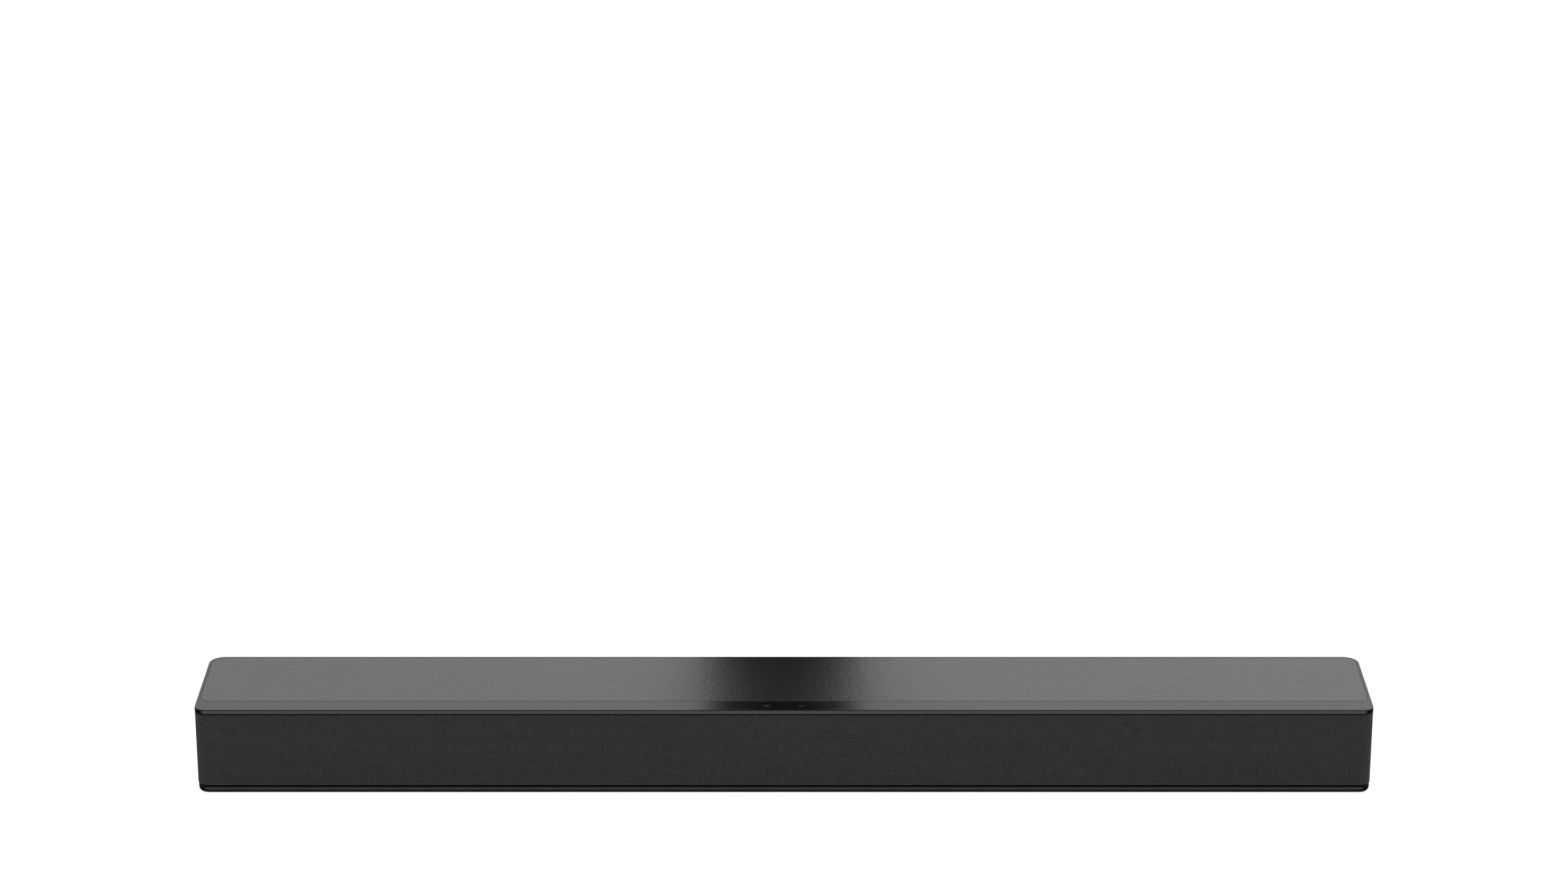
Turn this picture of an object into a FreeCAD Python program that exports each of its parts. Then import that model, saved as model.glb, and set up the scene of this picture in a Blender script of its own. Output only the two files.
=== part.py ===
import FreeCAD, Part
import math
import os

from FreeCAD import Vector as V

# Soundbar. Millimetres. +X is the listener's right when facing the bar, -Y is
# the front, +Z is up. The origin is under the middle of the bar, on the surface
# that its rubber feet stand on.

os.makedirs("parts", exist_ok=True)

# ---------------------------------------------------------------- dimensions
WIDTH = 800.0          # overall, X
DEPTH = 93.0           # overall, Y
HEIGHT = 62.0          # overall, Z, feet included
FEET = 0.5             # the rubber feet stand this far out of the base's skirt
R_FRONT = 8.0          # plan radius of the two front corners
R_BACK = 10.5          # plan radius of the two back corners

COVER_Z0 = 59.25       # underside of the top cover's rim
COVER_FILLET = 0.8
INLAY_DEEP = 1.0       # thickness of the grained top panel
INLAY_SIDE = 2.3       # from the side of the cover to the inlay
INLAY_FRONT = 15.64    # from the front of the cover to the inlay
INLAY_BACK = 2.5
INLAY_GAP = 0.2        # the fine groove round the inlay

CLOTH_T = 0.6
CLOTH_Z0, CLOTH_Z1 = 6.3, 58.15
CLOTH_END_Y = 26.0     # the cloth ends here on both sides
CLOTH_IN = 0.1         # the cloth stands this far inside the cover's outline

BACK_Y0 = 26.2
BACK_Z0, BACK_Z1 = 5.5, 58.7
BACK_T = 2.5

BASE_IN = 0.45
BASE_Z0, BASE_Z1 = FEET, 5.0
BASE_FILLET = 2.0
FLOOR_Z0, FLOOR_Z1 = 1.5, 4.0   # the floor's underside lies inside a low skirt
SKIRT_IN = 3.6

BAFFLE_Y0, BAFFLE_Y1 = -36.5, -33.5
DRIVER_X = 310.0
DRIVER_Z = 32.3

KEY_X = (-34.5, -11.5, 11.5, 34.5)
KEY_Y = -39.1
KEY_W, KEY_D = 11.0, 6.8
KEY_GAP = 0.10
KEY_TRAVEL = 0.4

RECESS_X = 75.0        # half width of the connector recess
RECESS_Z0, RECESS_Z1 = 10.4, 40.0
RECESS_Y = 28.4        # the recess's wall, where the sockets come through
BOARD_Z0, BOARD_Z1 = 12.0, 13.6

WALL_X = 250.0         # wall-mount inserts
WALL_Z = 32.0


# ------------------------------------------------------------------- helpers
def box(x0, y0, z0, x1, y1, z1):
    return Part.makeBox(x1 - x0, y1 - y0, z1 - z0, V(x0, y0, z0))


def cyl(x, y, z, r, h, d=(0, 0, 1)):
    return Part.makeCylinder(r, h, V(x, y, z), V(*d))


def tube(x, y, z, ro, ri, h, d=(0, 0, 1)):
    return cyl(x, y, z, ro, h, d).cut(cyl(x, y, z, ri, h, d))


def fuse(*s):
    flat = []
    for i in s:
        flat += list(i) if isinstance(i, (list, tuple)) else [i]
    r = flat[0]
    if len(flat) > 1:
        r = r.multiFuse(flat[1:])
    r = r.removeSplitter()
    return r.Solids[0] if len(r.Solids) == 1 else r


def cut(a, *s):
    flat = []
    for i in s:
        flat += list(i) if isinstance(i, (list, tuple)) else [i]
    r = a
    for i in flat:
        r = r.cut(i)
    return r.Solids[0] if len(r.Solids) == 1 else r


def outline_wire(i, z):
    """The bar's plan outline, i mm inside its overall size."""
    hw, y0, y1 = WIDTH / 2 - i, -DEPTH / 2 + i, DEPTH / 2 - i
    return rr_wire(hw, y0, y1, R_FRONT - i, R_BACK - i, z)


def rr_wire(hw, y0, y1, rf, rb, z):
    s = math.sqrt(0.5)

    def arc(cx, cy, r, a0, am, a1):
        p = [V(cx + r * a[0], cy + r * a[1], z) for a in (a0, am, a1)]
        return Part.Arc(*p).toShape()

    def line(a, b):
        return Part.LineSegment(V(a[0], a[1], z), V(b[0], b[1], z)).toShape()

    return Part.Wire(
        [
            line((-hw + rf, y0), (hw - rf, y0)),
            arc(hw - rf, y0 + rf, rf, (0, -1), (s, -s), (1, 0)),
            line((hw, y0 + rf), (hw, y1 - rb)),
            arc(hw - rb, y1 - rb, rb, (1, 0), (s, s), (0, 1)),
            line((hw - rb, y1), (-hw + rb, y1)),
            arc(-hw + rb, y1 - rb, rb, (0, 1), (-s, s), (-1, 0)),
            line((-hw, y1 - rb), (-hw, y0 + rf)),
            arc(-hw + rf, y0 + rf, rf, (-1, 0), (-s, -s), (0, -1)),
        ]
    )


def plan(i, z0, z1):
    return Part.Face(outline_wire(i, z0)).extrude(V(0, 0, z1 - z0))


def ring(i0, i1, z0, z1):
    return plan(i0, z0, z1).cut(plan(i1, z0 - 1, z1 + 1))


def level_edges(shape, z, tol=1e-4):
    return [
        e
        for e in shape.Edges
        if all(abs(v.Point.z - z) < tol for v in e.Vertexes)
        and abs(e.CenterOfMass.z - z) < tol
    ]


def stadium(cx, cz, half_x, half_z, y):
    """A racetrack in the plane Y = y, as a wire of two lines and two half circles."""
    s = half_x - half_z
    r = half_z
    p = lambda x, z: V(cx + x, y, cz + z)
    return Part.Wire(
        [
            Part.LineSegment(p(-s, r), p(s, r)).toShape(),
            Part.Arc(p(s, r), p(s + r, 0), p(s, -r)).toShape(),
            Part.LineSegment(p(s, -r), p(-s, -r)).toShape(),
            Part.Arc(p(-s, -r), p(-s - r, 0), p(-s, r)).toShape(),
        ]
    )


def stadium_solid(cx, cz, half_x, half_z, y0, y1):
    return Part.Face(stadium(cx, cz, half_x, half_z, y0)).extrude(V(0, y1 - y0, 0))


def four_arcs(cx, cz, r, y, share):
    """A circle as four arcs, whose joints face those of a racetrack."""
    a = share
    pt = lambda t: V(cx + r * math.cos(t), y, cz + r * math.sin(t))
    up, right = math.pi / 2, 0.0
    return Part.Wire(
        [
            Part.Arc(pt(math.pi - a), pt(up), pt(a)).toShape(),
            Part.Arc(pt(a), pt(right), pt(-a)).toShape(),
            Part.Arc(pt(-a), pt(-up), pt(-math.pi + a)).toShape(),
            Part.Arc(pt(-math.pi + a), pt(math.pi), pt(math.pi - a)).toShape(),
        ]
    )


def route(points, radii=None, share=0.45):
    """Straight runs joined by tangent arcs, as one wire, with its length."""
    pts = [V(*p) for p in points]
    edges, at, length = [], pts[0], 0.0
    for k in range(1, len(pts) - 1):
        a, b, c = pts[k - 1], pts[k], pts[k + 1]
        u, w = (a - b), (c - b)
        la, lc = u.Length, w.Length
        u.normalize()
        w.normalize()
        turn = math.pi - u.getAngle(w)
        r = radii[k - 1] if radii else share * min(la, lc) / math.tan(turn / 2)
        t = r * math.tan(turn / 2)
        p, q = b + u * t, b + w * t
        mid = u + w
        mid.normalize()
        m = b + mid * (r / math.cos(turn / 2) - r)
        edges.append(Part.LineSegment(at, p).toShape())
        edges.append(Part.Arc(p, m, q).toShape())
        length += at.distanceToPoint(p) + r * turn
        at = q
    edges.append(Part.LineSegment(at, pts[-1]).toShape())
    length += at.distanceToPoint(pts[-1])
    return Part.Wire(edges), length


def lead(points, r):
    wire, length = route(points)
    d = V(*points[1]) - V(*points[0])
    section = Part.Wire([Part.Circle(V(*points[0]), d, r).toShape()])
    s = wire.makePipeShell([section], True, False)
    s = s.Solids[0] if s.Solids else Part.Solid(s)
    ideal = math.pi * r * r * length
    print("lead length %.1f mm, volume ratio %.4f" % (length, s.Volume / ideal))
    return s


def cross_cut(x, y, z, d, size=3.0, deep=1.0, w=0.7):
    """A cross recess cut into a screw's head at (x, y, z), going along d."""
    dx, dy, dz = d
    h = size / 2
    if dz:
        z0, z1 = sorted((z - dz * 0.1, z + dz * deep))
        return [box(x - h, y - w / 2, z0, x + h, y + w / 2, z1), box(x - w / 2, y - h, z0, x + w / 2, y + h, z1)]
    y0, y1 = sorted((y - dy * 0.1, y + dy * deep))
    return [box(x - h, y0, z - w / 2, x + h, y1, z + w / 2), box(x - w / 2, y0, z - h, x + w / 2, y1, z + h)]


def screw(x, y, z, d, rh, hh, rs, ls):
    """A pan-head screw. (x, y, z) is under its head, and d is the way its tip points."""
    v = V(*d)
    top = V(x, y, z) - v * hh
    s = Part.makeCylinder(rh, hh, top, v)
    edge = [e for e in s.Edges if abs((e.CenterOfMass - top).Length) < 1e-6 and len(e.Vertexes) == 1]
    if edge:
        s = s.makeFillet(min(0.7, hh * 0.4), edge)
    s = s.fuse(Part.makeCylinder(rs, ls - 0.8, V(x, y, z), v))
    tip = V(x, y, z) + v * (ls - 0.8)
    s = s.fuse(Part.makeCone(rs, rs * 0.45, 0.8, tip, v))
    return cut(s.removeSplitter(), cross_cut(top.x, top.y, top.z, d))


def group(solids):
    return Part.makeCompound([i.Solids[0] for i in solids])


def mirror(shape):
    return shape.mirror(V(0, 0, 0), V(1, 0, 0))


OUT = {}


def keep(name, shape):
    OUT[name] = shape


# ------------------------------------------------------------------ top cover
# A 2.5 mm thick lid with a rounded upper edge. A shallow pocket takes the
# grained inlay, a lip locates the lid inside the cloth frame and the back case,
# and posts take the screws that come up from inside.
SCREW_X = (-375.0, -130.0, 130.0, 375.0)
SCREW_YF, SCREW_YB = -29.0, 39.5

cover = plan(0, COVER_Z0, HEIGHT)
cover = cover.makeFillet(COVER_FILLET, level_edges(cover, HEIGHT))
cover = cover.makeFillet(0.25, level_edges(cover, COVER_Z0))
pocket = Part.Face(
    rr_wire(WIDTH / 2 - INLAY_SIDE + INLAY_GAP, -DEPTH / 2 + INLAY_FRONT - INLAY_GAP, DEPTH / 2 - INLAY_BACK + INLAY_GAP, 7.2, 8.3, HEIGHT - INLAY_DEEP)
).extrude(V(0, 0, 5))
cover = cover.cut(pocket)
lip = ring(2.9, 3.9, 57.6, COVER_Z0)
posts = [cyl(x, y, 52.0, 3.25, COVER_Z0 - 52.0 + 0.5) for x in SCREW_X for y in (SCREW_YF, SCREW_YB)]
POST_X = (-48.0, 0.0, 48.0)
BOARD_POST_Y = -37.5
posts += [cyl(x, BOARD_POST_Y, 52.6, 2.5, COVER_Z0 - 52.6 + 0.5) for x in POST_X]
ribs = [box(-390, y, 58.0, 390, y + 1.2, COVER_Z0 + 0.2) for y in (-12.0, 8.0, 26.0)]
cover = fuse(cover, lip, posts, ribs)
cover = cut(
    cover,
    [box(x - KEY_W / 2 - KEY_GAP, KEY_Y - KEY_D / 2 - KEY_GAP, 50, x + KEY_W / 2 + KEY_GAP, KEY_Y + KEY_D / 2 + KEY_GAP, 70) for x in KEY_X],
    [cyl(x, y, 51, 1.52, 7.5) for x in SCREW_X for y in (SCREW_YF, SCREW_YB)],
    [cyl(x, BOARD_POST_Y, 51, 1.27, 5.8) for x in POST_X],
)
keep("top_cover", cover)

inlay = Part.Face(
    rr_wire(WIDTH / 2 - INLAY_SIDE, -DEPTH / 2 + INLAY_FRONT, DEPTH / 2 - INLAY_BACK, 7.0, 8.1, HEIGHT - INLAY_DEEP)
).extrude(V(0, 0, INLAY_DEEP))
inlay = inlay.makeFillet(0.2, level_edges(inlay, HEIGHT))
keep("top_inlay", inlay)

# --------------------------------------------------------------- cloth grille
FRAME_IN, FRAME_T = CLOTH_IN + CLOTH_T, 2.0


def before(y):
    return box(-500, -200, -50, 500, y, 150)


cloth = plan(CLOTH_IN, CLOTH_Z0, CLOTH_Z1).common(before(CLOTH_END_Y))
hollow = plan(FRAME_IN, CLOTH_Z0 + CLOTH_T, CLOTH_Z1 - CLOTH_T).common(before(CLOTH_END_Y - CLOTH_T))
inside = plan(FRAME_IN + FRAME_T, -10, 100)
cloth = cloth.cut(hollow).cut(inside)
keep("grille_cloth", cloth)

frame = plan(FRAME_IN, CLOTH_Z0 + CLOTH_T, CLOTH_Z1 - CLOTH_T).common(before(CLOTH_END_Y - CLOTH_T)).cut(inside)
windows = []
for side in (-1, 1):
    for col in range(7):
        for row in range(3):
            cx = side * (DRIVER_X - 57 + col * 19.0)
            z0 = 12.0 + row * 13.9
            windows.append(box(cx - 8.2, -47, z0, cx + 8.2, -43, z0 + 12.2))
windows.append(box(-30, -47, 28.5, 30, -43, 44.5))
frame = frame.cut(Part.makeCompound(windows))
PEG_X = (-384.0, -236.0, -80.0, 80.0, 236.0, 384.0)
PEG_Z = (11.0, 53.6)
pegs = [cyl(x, -44.2, z, 2.0, 9.2, (0, 1, 0)) for x in PEG_X for z in PEG_Z]
frame = fuse(frame, pegs)
keep("grille_frame", frame)

# --------------------------------------------------------------- front baffle
side_in = 2.9
baffle = box(-395.9, BAFFLE_Y0, FLOOR_Z1, 395.9, BAFFLE_Y1, COVER_Z0 - 0.2)
baffle = fuse(
    baffle,
    box(-397.1, BAFFLE_Y0, 8.5, 397.1, BAFFLE_Y1, 57.3),
    [box(x, BAFFLE_Y0, 8.5, x + 2.2, 35.5, 57.3) for x in (-397.1, 394.9)],
    # bosses for the base's screws, tabs for the cover's, and stand-offs for the display board
    [box(x - 3.5, BAFFLE_Y1 - 0.5, 6.0, x + 3.5, -25.5, 16.0) for x in SCREW_X],
    [box(x - 4.0, BAFFLE_Y1 - 0.5, 49.5, x + 4.0, -24.8, 52.0) for x in SCREW_X],
    [cyl(x, BAFFLE_Y0 - 1.5, z, 2.2, 2.0, (0, 1, 0)) for x in (-26.0, 26.0) for z in (32.0, 41.0)],
    # stiffening ribs behind the plate
    [box(x - 1.0, BAFFLE_Y1 - 0.5, 18.0, x + 1.0, -29.5, 46.0) for x in (-228, -190, -100, 100, 190, 228)],
)
baffle = cut(
    baffle,
    box(-56, -60, 48.4, 56, -20, 70),
    [stadium_solid(s * DRIVER_X, DRIVER_Z, 50.5, 20.5, -50, -30) for s in (-1, 1)],
    [cyl(x, -50, z, 2.05, 20, (0, 1, 0)) for x in PEG_X for z in PEG_Z],
    [cyl(s * (DRIVER_X + dx), -50, DRIVER_Z + dz, 1.52, 20, (0, 1, 0)) for s in (-1, 1) for dx in (-50, 50) for dz in (-19, 19)],
    [cyl(x, SCREW_YF, 5.0, 1.52, 10.0) for x in SCREW_X],
    [cyl(x, SCREW_YF, 49.0, 1.7, 4.0) for x in SCREW_X],
    [cyl(x, -39.0, z, 1.27, 5.2, (0, 1, 0)) for x in (-26.0, 26.0) for z in (32.0, 41.0)],
)
keep("front_baffle", baffle)

# ------------------------------------------------------------------ back case
back = ring(CLOTH_IN, CLOTH_IN + BACK_T, BACK_Z0, BACK_Z1).common(box(-500, BACK_Y0, -50, 500, 200, 150))
back = back.Solids[0]
outer = box(-RECESS_X - 2, RECESS_Y - 2, RECESS_Z0 - 2, RECESS_X + 2, 46.0, RECESS_Z1 + 2)
inner_face = DEPTH / 2 - CLOTH_IN - BACK_T
back = fuse(
    back,
    outer,
    [box(x - 3.5, 35.3, 6.0, x + 3.5, 42.3, 16.0) for x in SCREW_X],
    [box(x - 3.5, 42.0, 8.5, x + 3.5, inner_face + 0.5, 16.0) for x in SCREW_X],
    [box(x - 4.0, 35.3, 49.5, x + 4.0, inner_face + 0.5, 52.0) for x in SCREW_X],
    [cyl(x, 36.2, WALL_Z, 5.5, inner_face - 36.2 + 0.5, (0, 1, 0)) for x in (-WALL_X, WALL_X)],
    [box(x - 0.9, 40.5, 12.0, x + 0.9, inner_face + 0.4, 56.5) for x in (-340, -300, -200, -165, 165, 200, 300, 340)],
)

# socket places: centre X, and the height of each centre above the boards
AC_X, AC_Z = 55.0, 20.6
OPT_X, OPT_Z = 15.0, 19.1
HDMI_X, HDMI_Z = -8.0, 16.5
USB_X, USB_Z = -32.0, 16.6
AUX_X, AUX_Z = -55.0, 17.8
back = cut(
    back,
    box(-RECESS_X, RECESS_Y, RECESS_Z0, RECESS_X, 60, RECESS_Z1),
    [cyl(x, SCREW_YB, 5.0, 1.52, 10.0) for x in SCREW_X],
    [cyl(x, SCREW_YB, 49.0, 1.7, 4.0) for x in SCREW_X],
    [cyl(x, 38.4, WALL_Z, 3.02, 20, (0, 1, 0)) for x in (-WALL_X, WALL_X)],
    box(AC_X - 11.2, 20, AC_Z - 7.2, AC_X + 11.2, 30, AC_Z + 7.2),
    box(OPT_X - 5.7, 20, OPT_Z - 5.7, OPT_X + 5.7, 30, OPT_Z + 5.7),
    box(HDMI_X - 7.9, 20, HDMI_Z - 3.1, HDMI_X + 7.9, 30, HDMI_Z + 3.1),
    box(USB_X - 7.0, 20, USB_Z - 3.2, USB_X + 7.0, 30, USB_Z + 3.2),
    cyl(AUX_X, 20, AUX_Z, 4.0, 10, (0, 1, 0)),
)
# The recess's mouth has a small chamfer all round, so that plugs find their way in.
mouth = [
    e
    for e in back.Edges
    if all(abs(v.Point.y - (DEPTH / 2 - CLOTH_IN)) < 1e-4 for v in e.Vertexes)
    and all(abs(v.Point.x) < RECESS_X + 0.01 for v in e.Vertexes)
    and all(RECESS_Z0 - 0.01 < v.Point.z < RECESS_Z1 + 0.01 for v in e.Vertexes)
]
back = back.makeChamfer(0.6, mouth)
keep("back_case", back)

# ---------------------------------------------------------------- bottom case
FOOT_X, FOOT_Y = 330.0, 28.0
base = plan(BASE_IN, BASE_Z0, BASE_Z1)
base = base.makeFillet(BASE_FILLET, level_edges(base, BASE_Z0))
base = base.makeFillet(0.35, level_edges(base, BASE_Z1))
base = base.cut(plan(3.9, FLOOR_Z1, 50)).cut(plan(SKIRT_IN, -5, FLOOR_Z0))
BOARD_HOLES = ((-136.0, -16.0), (-136.0, 22.0), (28.0, -17.2), (28.0, 22.0), (44.0, -16.0), (72.0, 22.0), (138.0, -16.0), (138.0, 22.0))
base = fuse(
    base,
    ring(2.9, 3.9, BASE_Z1 - 0.6, 8.2),
    [cyl(x, y, 3.5, 4.3, 2.5) for x in SCREW_X for y in (SCREW_YF, SCREW_YB)],
    [cyl(x, y, 3.5, 3.0, BOARD_Z0 - 3.5) for x, y in BOARD_HOLES],
    # two long ribs, with the boards' posts between them
    [box(x0, y, 3.5, x1, y + 1.4, 7.0) for y in (-2.0, 12.0) for x0, x1 in ((-385, -165), (165, 385))],
)
base = cut(
    base,
    [cyl(x, y, 1.0, 3.2, 3.0) for x in SCREW_X for y in (SCREW_YF, SCREW_YB)],
    [cyl(x, y, 1.0, 1.7, 6.0) for x in SCREW_X for y in (SCREW_YF, SCREW_YB)],
    [cyl(x, y, 5.5, 1.27, 8.0) for x, y in BOARD_HOLES],
    [box(sx * FOOT_X - 20.15, sy * FOOT_Y - 5.15, 1.0, sx * FOOT_X + 20.15, sy * FOOT_Y + 5.15, 2.5) for sx in (-1, 1) for sy in (-1, 1)],
)
keep("bottom_case", base)

feet = []
for sx in (-1, 1):
    for sy in (-1, 1):
        f = box(sx * FOOT_X - 20, sy * FOOT_Y - 5, 0, sx * FOOT_X + 20, sy * FOOT_Y + 5, 2.5)
        upright = [e for e in f.Edges if abs(e.Vertexes[0].Point.z - e.Vertexes[1].Point.z) > 1]
        f = f.makeFillet(1.2, upright)
        f = f.makeFillet(0.4, level_edges(f, 0))
        feet.append(f)
keep("rubber_feet", group(feet))

keep("case_screws", group([screw(x, y, 4.0, (0, 0, 1), 2.8, 2.1, 1.5, 10.5) for x in SCREW_X for y in (SCREW_YF, SCREW_YB)]))
keep("cover_screws", group([screw(x, y, 49.5, (0, 0, 1), 2.8, 2.1, 1.5, 8.5) for x in SCREW_X for y in (SCREW_YF, SCREW_YB)]))

# brass inserts for two M4 wall-bracket screws
inserts = []
for x in (-WALL_X, WALL_X):
    s = cyl(x, 38.4, WALL_Z, 3.0, 8.0, (0, 1, 0)).cut(cyl(x, 38.0, WALL_Z, 2.0, 10.0, (0, 1, 0)))
    s = s.cut(tube(x, 40.4, WALL_Z, 3.5, 2.7, 0.8, (0, 1, 0))).cut(tube(x, 43.4, WALL_Z, 3.5, 2.7, 0.8, (0, 1, 0)))
    inserts.append(s)
keep("wall_mount_inserts", group(inserts))

# Two partitions close off each driver's chamber from the electronics.
LEFT_LEAD = [(-134, -10, 17), (-190, -10, 17), (-236, -16, 25), (-262, -22.5, 32.3), (-286, -22.5, 32.3)]
RIGHT_LEAD = [(31, -10, 17), (52, -10, 17), (74, -22, 19), (128, -23.5, 20.5), (180, -21, 20), (232, -17, 25), (262, -22.5, 32.3), (286, -22.5, 32.3)]


def chamber_wall(x, y, z, r):
    w = box(x - 1, BAFFLE_Y1 + 0.1, FLOOR_Z1 + 0.1, x + 1, 42.4, COVER_Z0 - 0.2)
    w = w.cut(box(x - 5, 34.0, 0, x + 5, 60, 8.4)).cut(box(x - 5, 34.0, 57.4, x + 5, 60, 70))
    w = fuse(w, box(x - 1, 42.0, 8.5, x + 1, inner_face - 0.1, 57.3))
    # the cover's ribs run through notches in its upper edge
    w = cut(w, [box(x - 5, yy - 0.2, 57.8, x + 5, yy + 1.4, 70) for yy in (-12.0, 8.0, 26.0)])
    return cut(w, cyl(x - 5, y, z, r, 10, (1, 0, 0)))


keep("left_chamber_wall", chamber_wall(-150.0, -10.0, 17.0, 1.8))
keep("right_chamber_wall", chamber_wall(150.0, -22.4, 20.3, 2.3))

# -------------------------------------------------------------------- drivers
# One racetrack driver a side, on the front of the baffle.
AX = (0, 1, 0)


def driver(cx):
    n = {}
    cz = DRIVER_Z
    f = box(cx - 56, -38.5, cz - 24, cx + 56, -37.0, cz + 24)
    f = f.makeFillet(5.0, [e for e in f.Edges if abs(e.Vertexes[0].Point.y - e.Vertexes[1].Point.y) > 1])
    wall = stadium_solid(cx, cz, 50, 20, -37.2, -25.0)
    f = fuse(f, wall, cyl(cx, -25.2, cz, 18.0, 5.2, AX))
    # a terminal block on the side of the can, towards the electronics
    s = -1 if cx > 0 else 1
    x0, x1 = sorted((cx + s * 17.0, cx + s * 24.0))
    f = fuse(f, box(x0, -24.6, cz - 3, x1, -20.4, cz + 3))
    f = cut(
        f,
        stadium_solid(cx, cz, 48, 18, -40, -26.2),
        cyl(cx, -27, cz, 15.8, 5.8, AX),
        cyl(cx, -30, cz, 11.6, 20, AX),
        [box(cx + a, -30, cz - 11, cx + b, -24, cz + 11) for a, b in ((-40, -22), (22, 40))],
        [cyl(cx + dx, -45, cz + dz, 1.65, 20, AX) for dx in (-50, 50) for dz in (-19, 19)],
    )
    n["driver_frame"] = f
    plate = tube(cx, -20.0, cz, 18.0, 11.0, 4.0, AX)
    ringm = tube(cx, -16.0, cz, 20.0, 12.5, 9.0, AX)
    yoke = fuse(cyl(cx, -7.0, cz, 18.0, 4.0, AX), cyl(cx, -20.5, cz, 9.4, 14.0, AX))
    n["magnet_motor"] = Part.makeCompound([plate, ringm, yoke])
    a = math.atan2(14, 30) + 0.35
    one = Part.makeLoft([stadium(cx, cz, 44, 14, -38.4), four_arcs(cx, cz, 10.6, -31.0, a)], True, True)
    two = Part.makeLoft([stadium(cx, cz, 44, 14, -39.2), four_arcs(cx, cz, 10.6, -31.8, a)], True, True)
    cone = one.cut(two).cut(cyl(cx, -45, cz, 9.97, 20, AX))
    n["cone"] = cone.Solids[0]
    n["voice_coil"] = fuse(tube(cx, -33.0, cz, 9.95, 9.75, 18.5, AX), tube(cx, -22.0, cz, 10.5, 9.85, 7.5, AX))
    # the dust cap is a shallow dome over the former's end
    rise, rc = 3.2, 9.6
    big = (rc * rc + rise * rise) / (2 * rise)
    dome = Part.makeSphere(big).cut(Part.makeSphere(big - 0.4))
    dome.translate(V(cx, -33.2 - rise + big, cz))
    cap = dome.common(box(cx - 20, -45, cz - 20, cx + 20, -33.2, cz + 20))
    n["dust_cap"] = cap.Solids[0]
    # the surround is a half roll that follows the racetrack
    r0, y0 = 16.05, -38.5
    half = Part.Face(Part.Wire([
        Part.Arc(V(r0 - 2.0, 0, y0), V(r0, 0, y0 - 2.0), V(r0 + 2.0, 0, y0)).toShape(),
        Part.LineSegment(V(r0 + 2.0, 0, y0), V(r0 + 1.6, 0, y0)).toShape(),
        Part.Arc(V(r0 + 1.6, 0, y0), V(r0, 0, y0 - 1.6), V(r0 - 1.6, 0, y0)).toShape(),
        Part.LineSegment(V(r0 - 1.6, 0, y0), V(r0 - 2.0, 0, y0)).toShape(),
    ]))
    rim = Part.Face(Part.Wire([
        Part.LineSegment(V(r0 + 1.7, 0, y0), V(21.0, 0, y0)).toShape(),
        Part.LineSegment(V(21.0, 0, y0), V(21.0, 0, y0 - 0.4)).toShape(),
        Part.LineSegment(V(21.0, 0, y0 - 0.4), V(r0 + 1.7, 0, y0 - 0.4)).toShape(),
        Part.LineSegment(V(r0 + 1.7, 0, y0 - 0.4), V(r0 + 1.7, 0, y0)).toShape(),
    ]))
    pieces = []
    for face in (half, rim):
        for sgn in (1, -1):
            g = face.copy()
            # (radius, 0, y) -> (0, y, +-radius), then swept along X
            mat = FreeCAD.Matrix(0, 1, 0, cx - 30, 0, 0, 1, 0, sgn, 0, 0, cz, 0, 0, 0, 1)
            g = g.transformGeometry(mat)
            pieces.append(g.extrude(V(60, 0, 0)))
            # (radius, 0, y) -> (+-radius, y, 0) turned half round
            mat = FreeCAD.Matrix(0, 1, 0, cx + sgn * 30, 0, 0, 1, 0, 1, 0, 0, cz, 0, 0, 0, 1)
            g = face.copy().transformGeometry(mat)
            pieces.append(g.revolve(V(cx + sgn * 30, 0, cz), V(0, 1, 0), 180 * sgn))
    n["surround"] = fuse([p.Solids[0] if p.Solids else Part.Solid(p) for p in pieces])
    # the spider has two shallow corrugations
    pts = [(10.1, -26.9), (11.2, -27.3), (12.4, -26.6), (13.6, -27.3), (14.8, -26.6), (15.6, -26.6), (17.4, -26.6)]
    up = [V(cx + r, y, cz) for r, y in pts]
    down = [V(cx + r, y + 0.4, cz) for r, y in reversed(pts)]
    w = Part.makePolygon(up + down + [up[0]])
    n["spider"] = Part.Face(w).revolve(V(cx, 0, cz), V(0, 1, 0), 360)
    g = box(cx - 56, -37.0, cz - 24, cx + 56, -36.5, cz + 24)
    g = g.makeFillet(5.0, [e for e in g.Edges if abs(e.Vertexes[0].Point.y - e.Vertexes[1].Point.y) > 0.3])
    g = cut(g, stadium_solid(cx, cz, 51, 21, -40, -30), [cyl(cx + dx, -45, cz + dz, 1.65, 20, AX) for dx in (-50, 50) for dz in (-19, 19)])
    n["gasket"] = g
    n["screws"] = [screw(cx + dx, -38.5, cz + dz, (0, 1, 0), 2.5, 1.6, 1.5, 7.0) for dx in (-50, 50) for dz in (-19, 19)]
    return n


gaskets, dscrews = [], []
for side, cx in (("left", -DRIVER_X), ("right", DRIVER_X)):
    d = driver(cx)
    gaskets.append(d.pop("gasket"))
    dscrews += d.pop("screws")
    for k, s in d.items():
        keep("%s_%s" % (side, k), s)
keep("driver_gaskets", group(gaskets))
keep("driver_screws", group(dscrews))

# ------------------------------------------------------------------------ keys
TOP = 61.85            # a key's own face; its sign stands up to the cover's level


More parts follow.
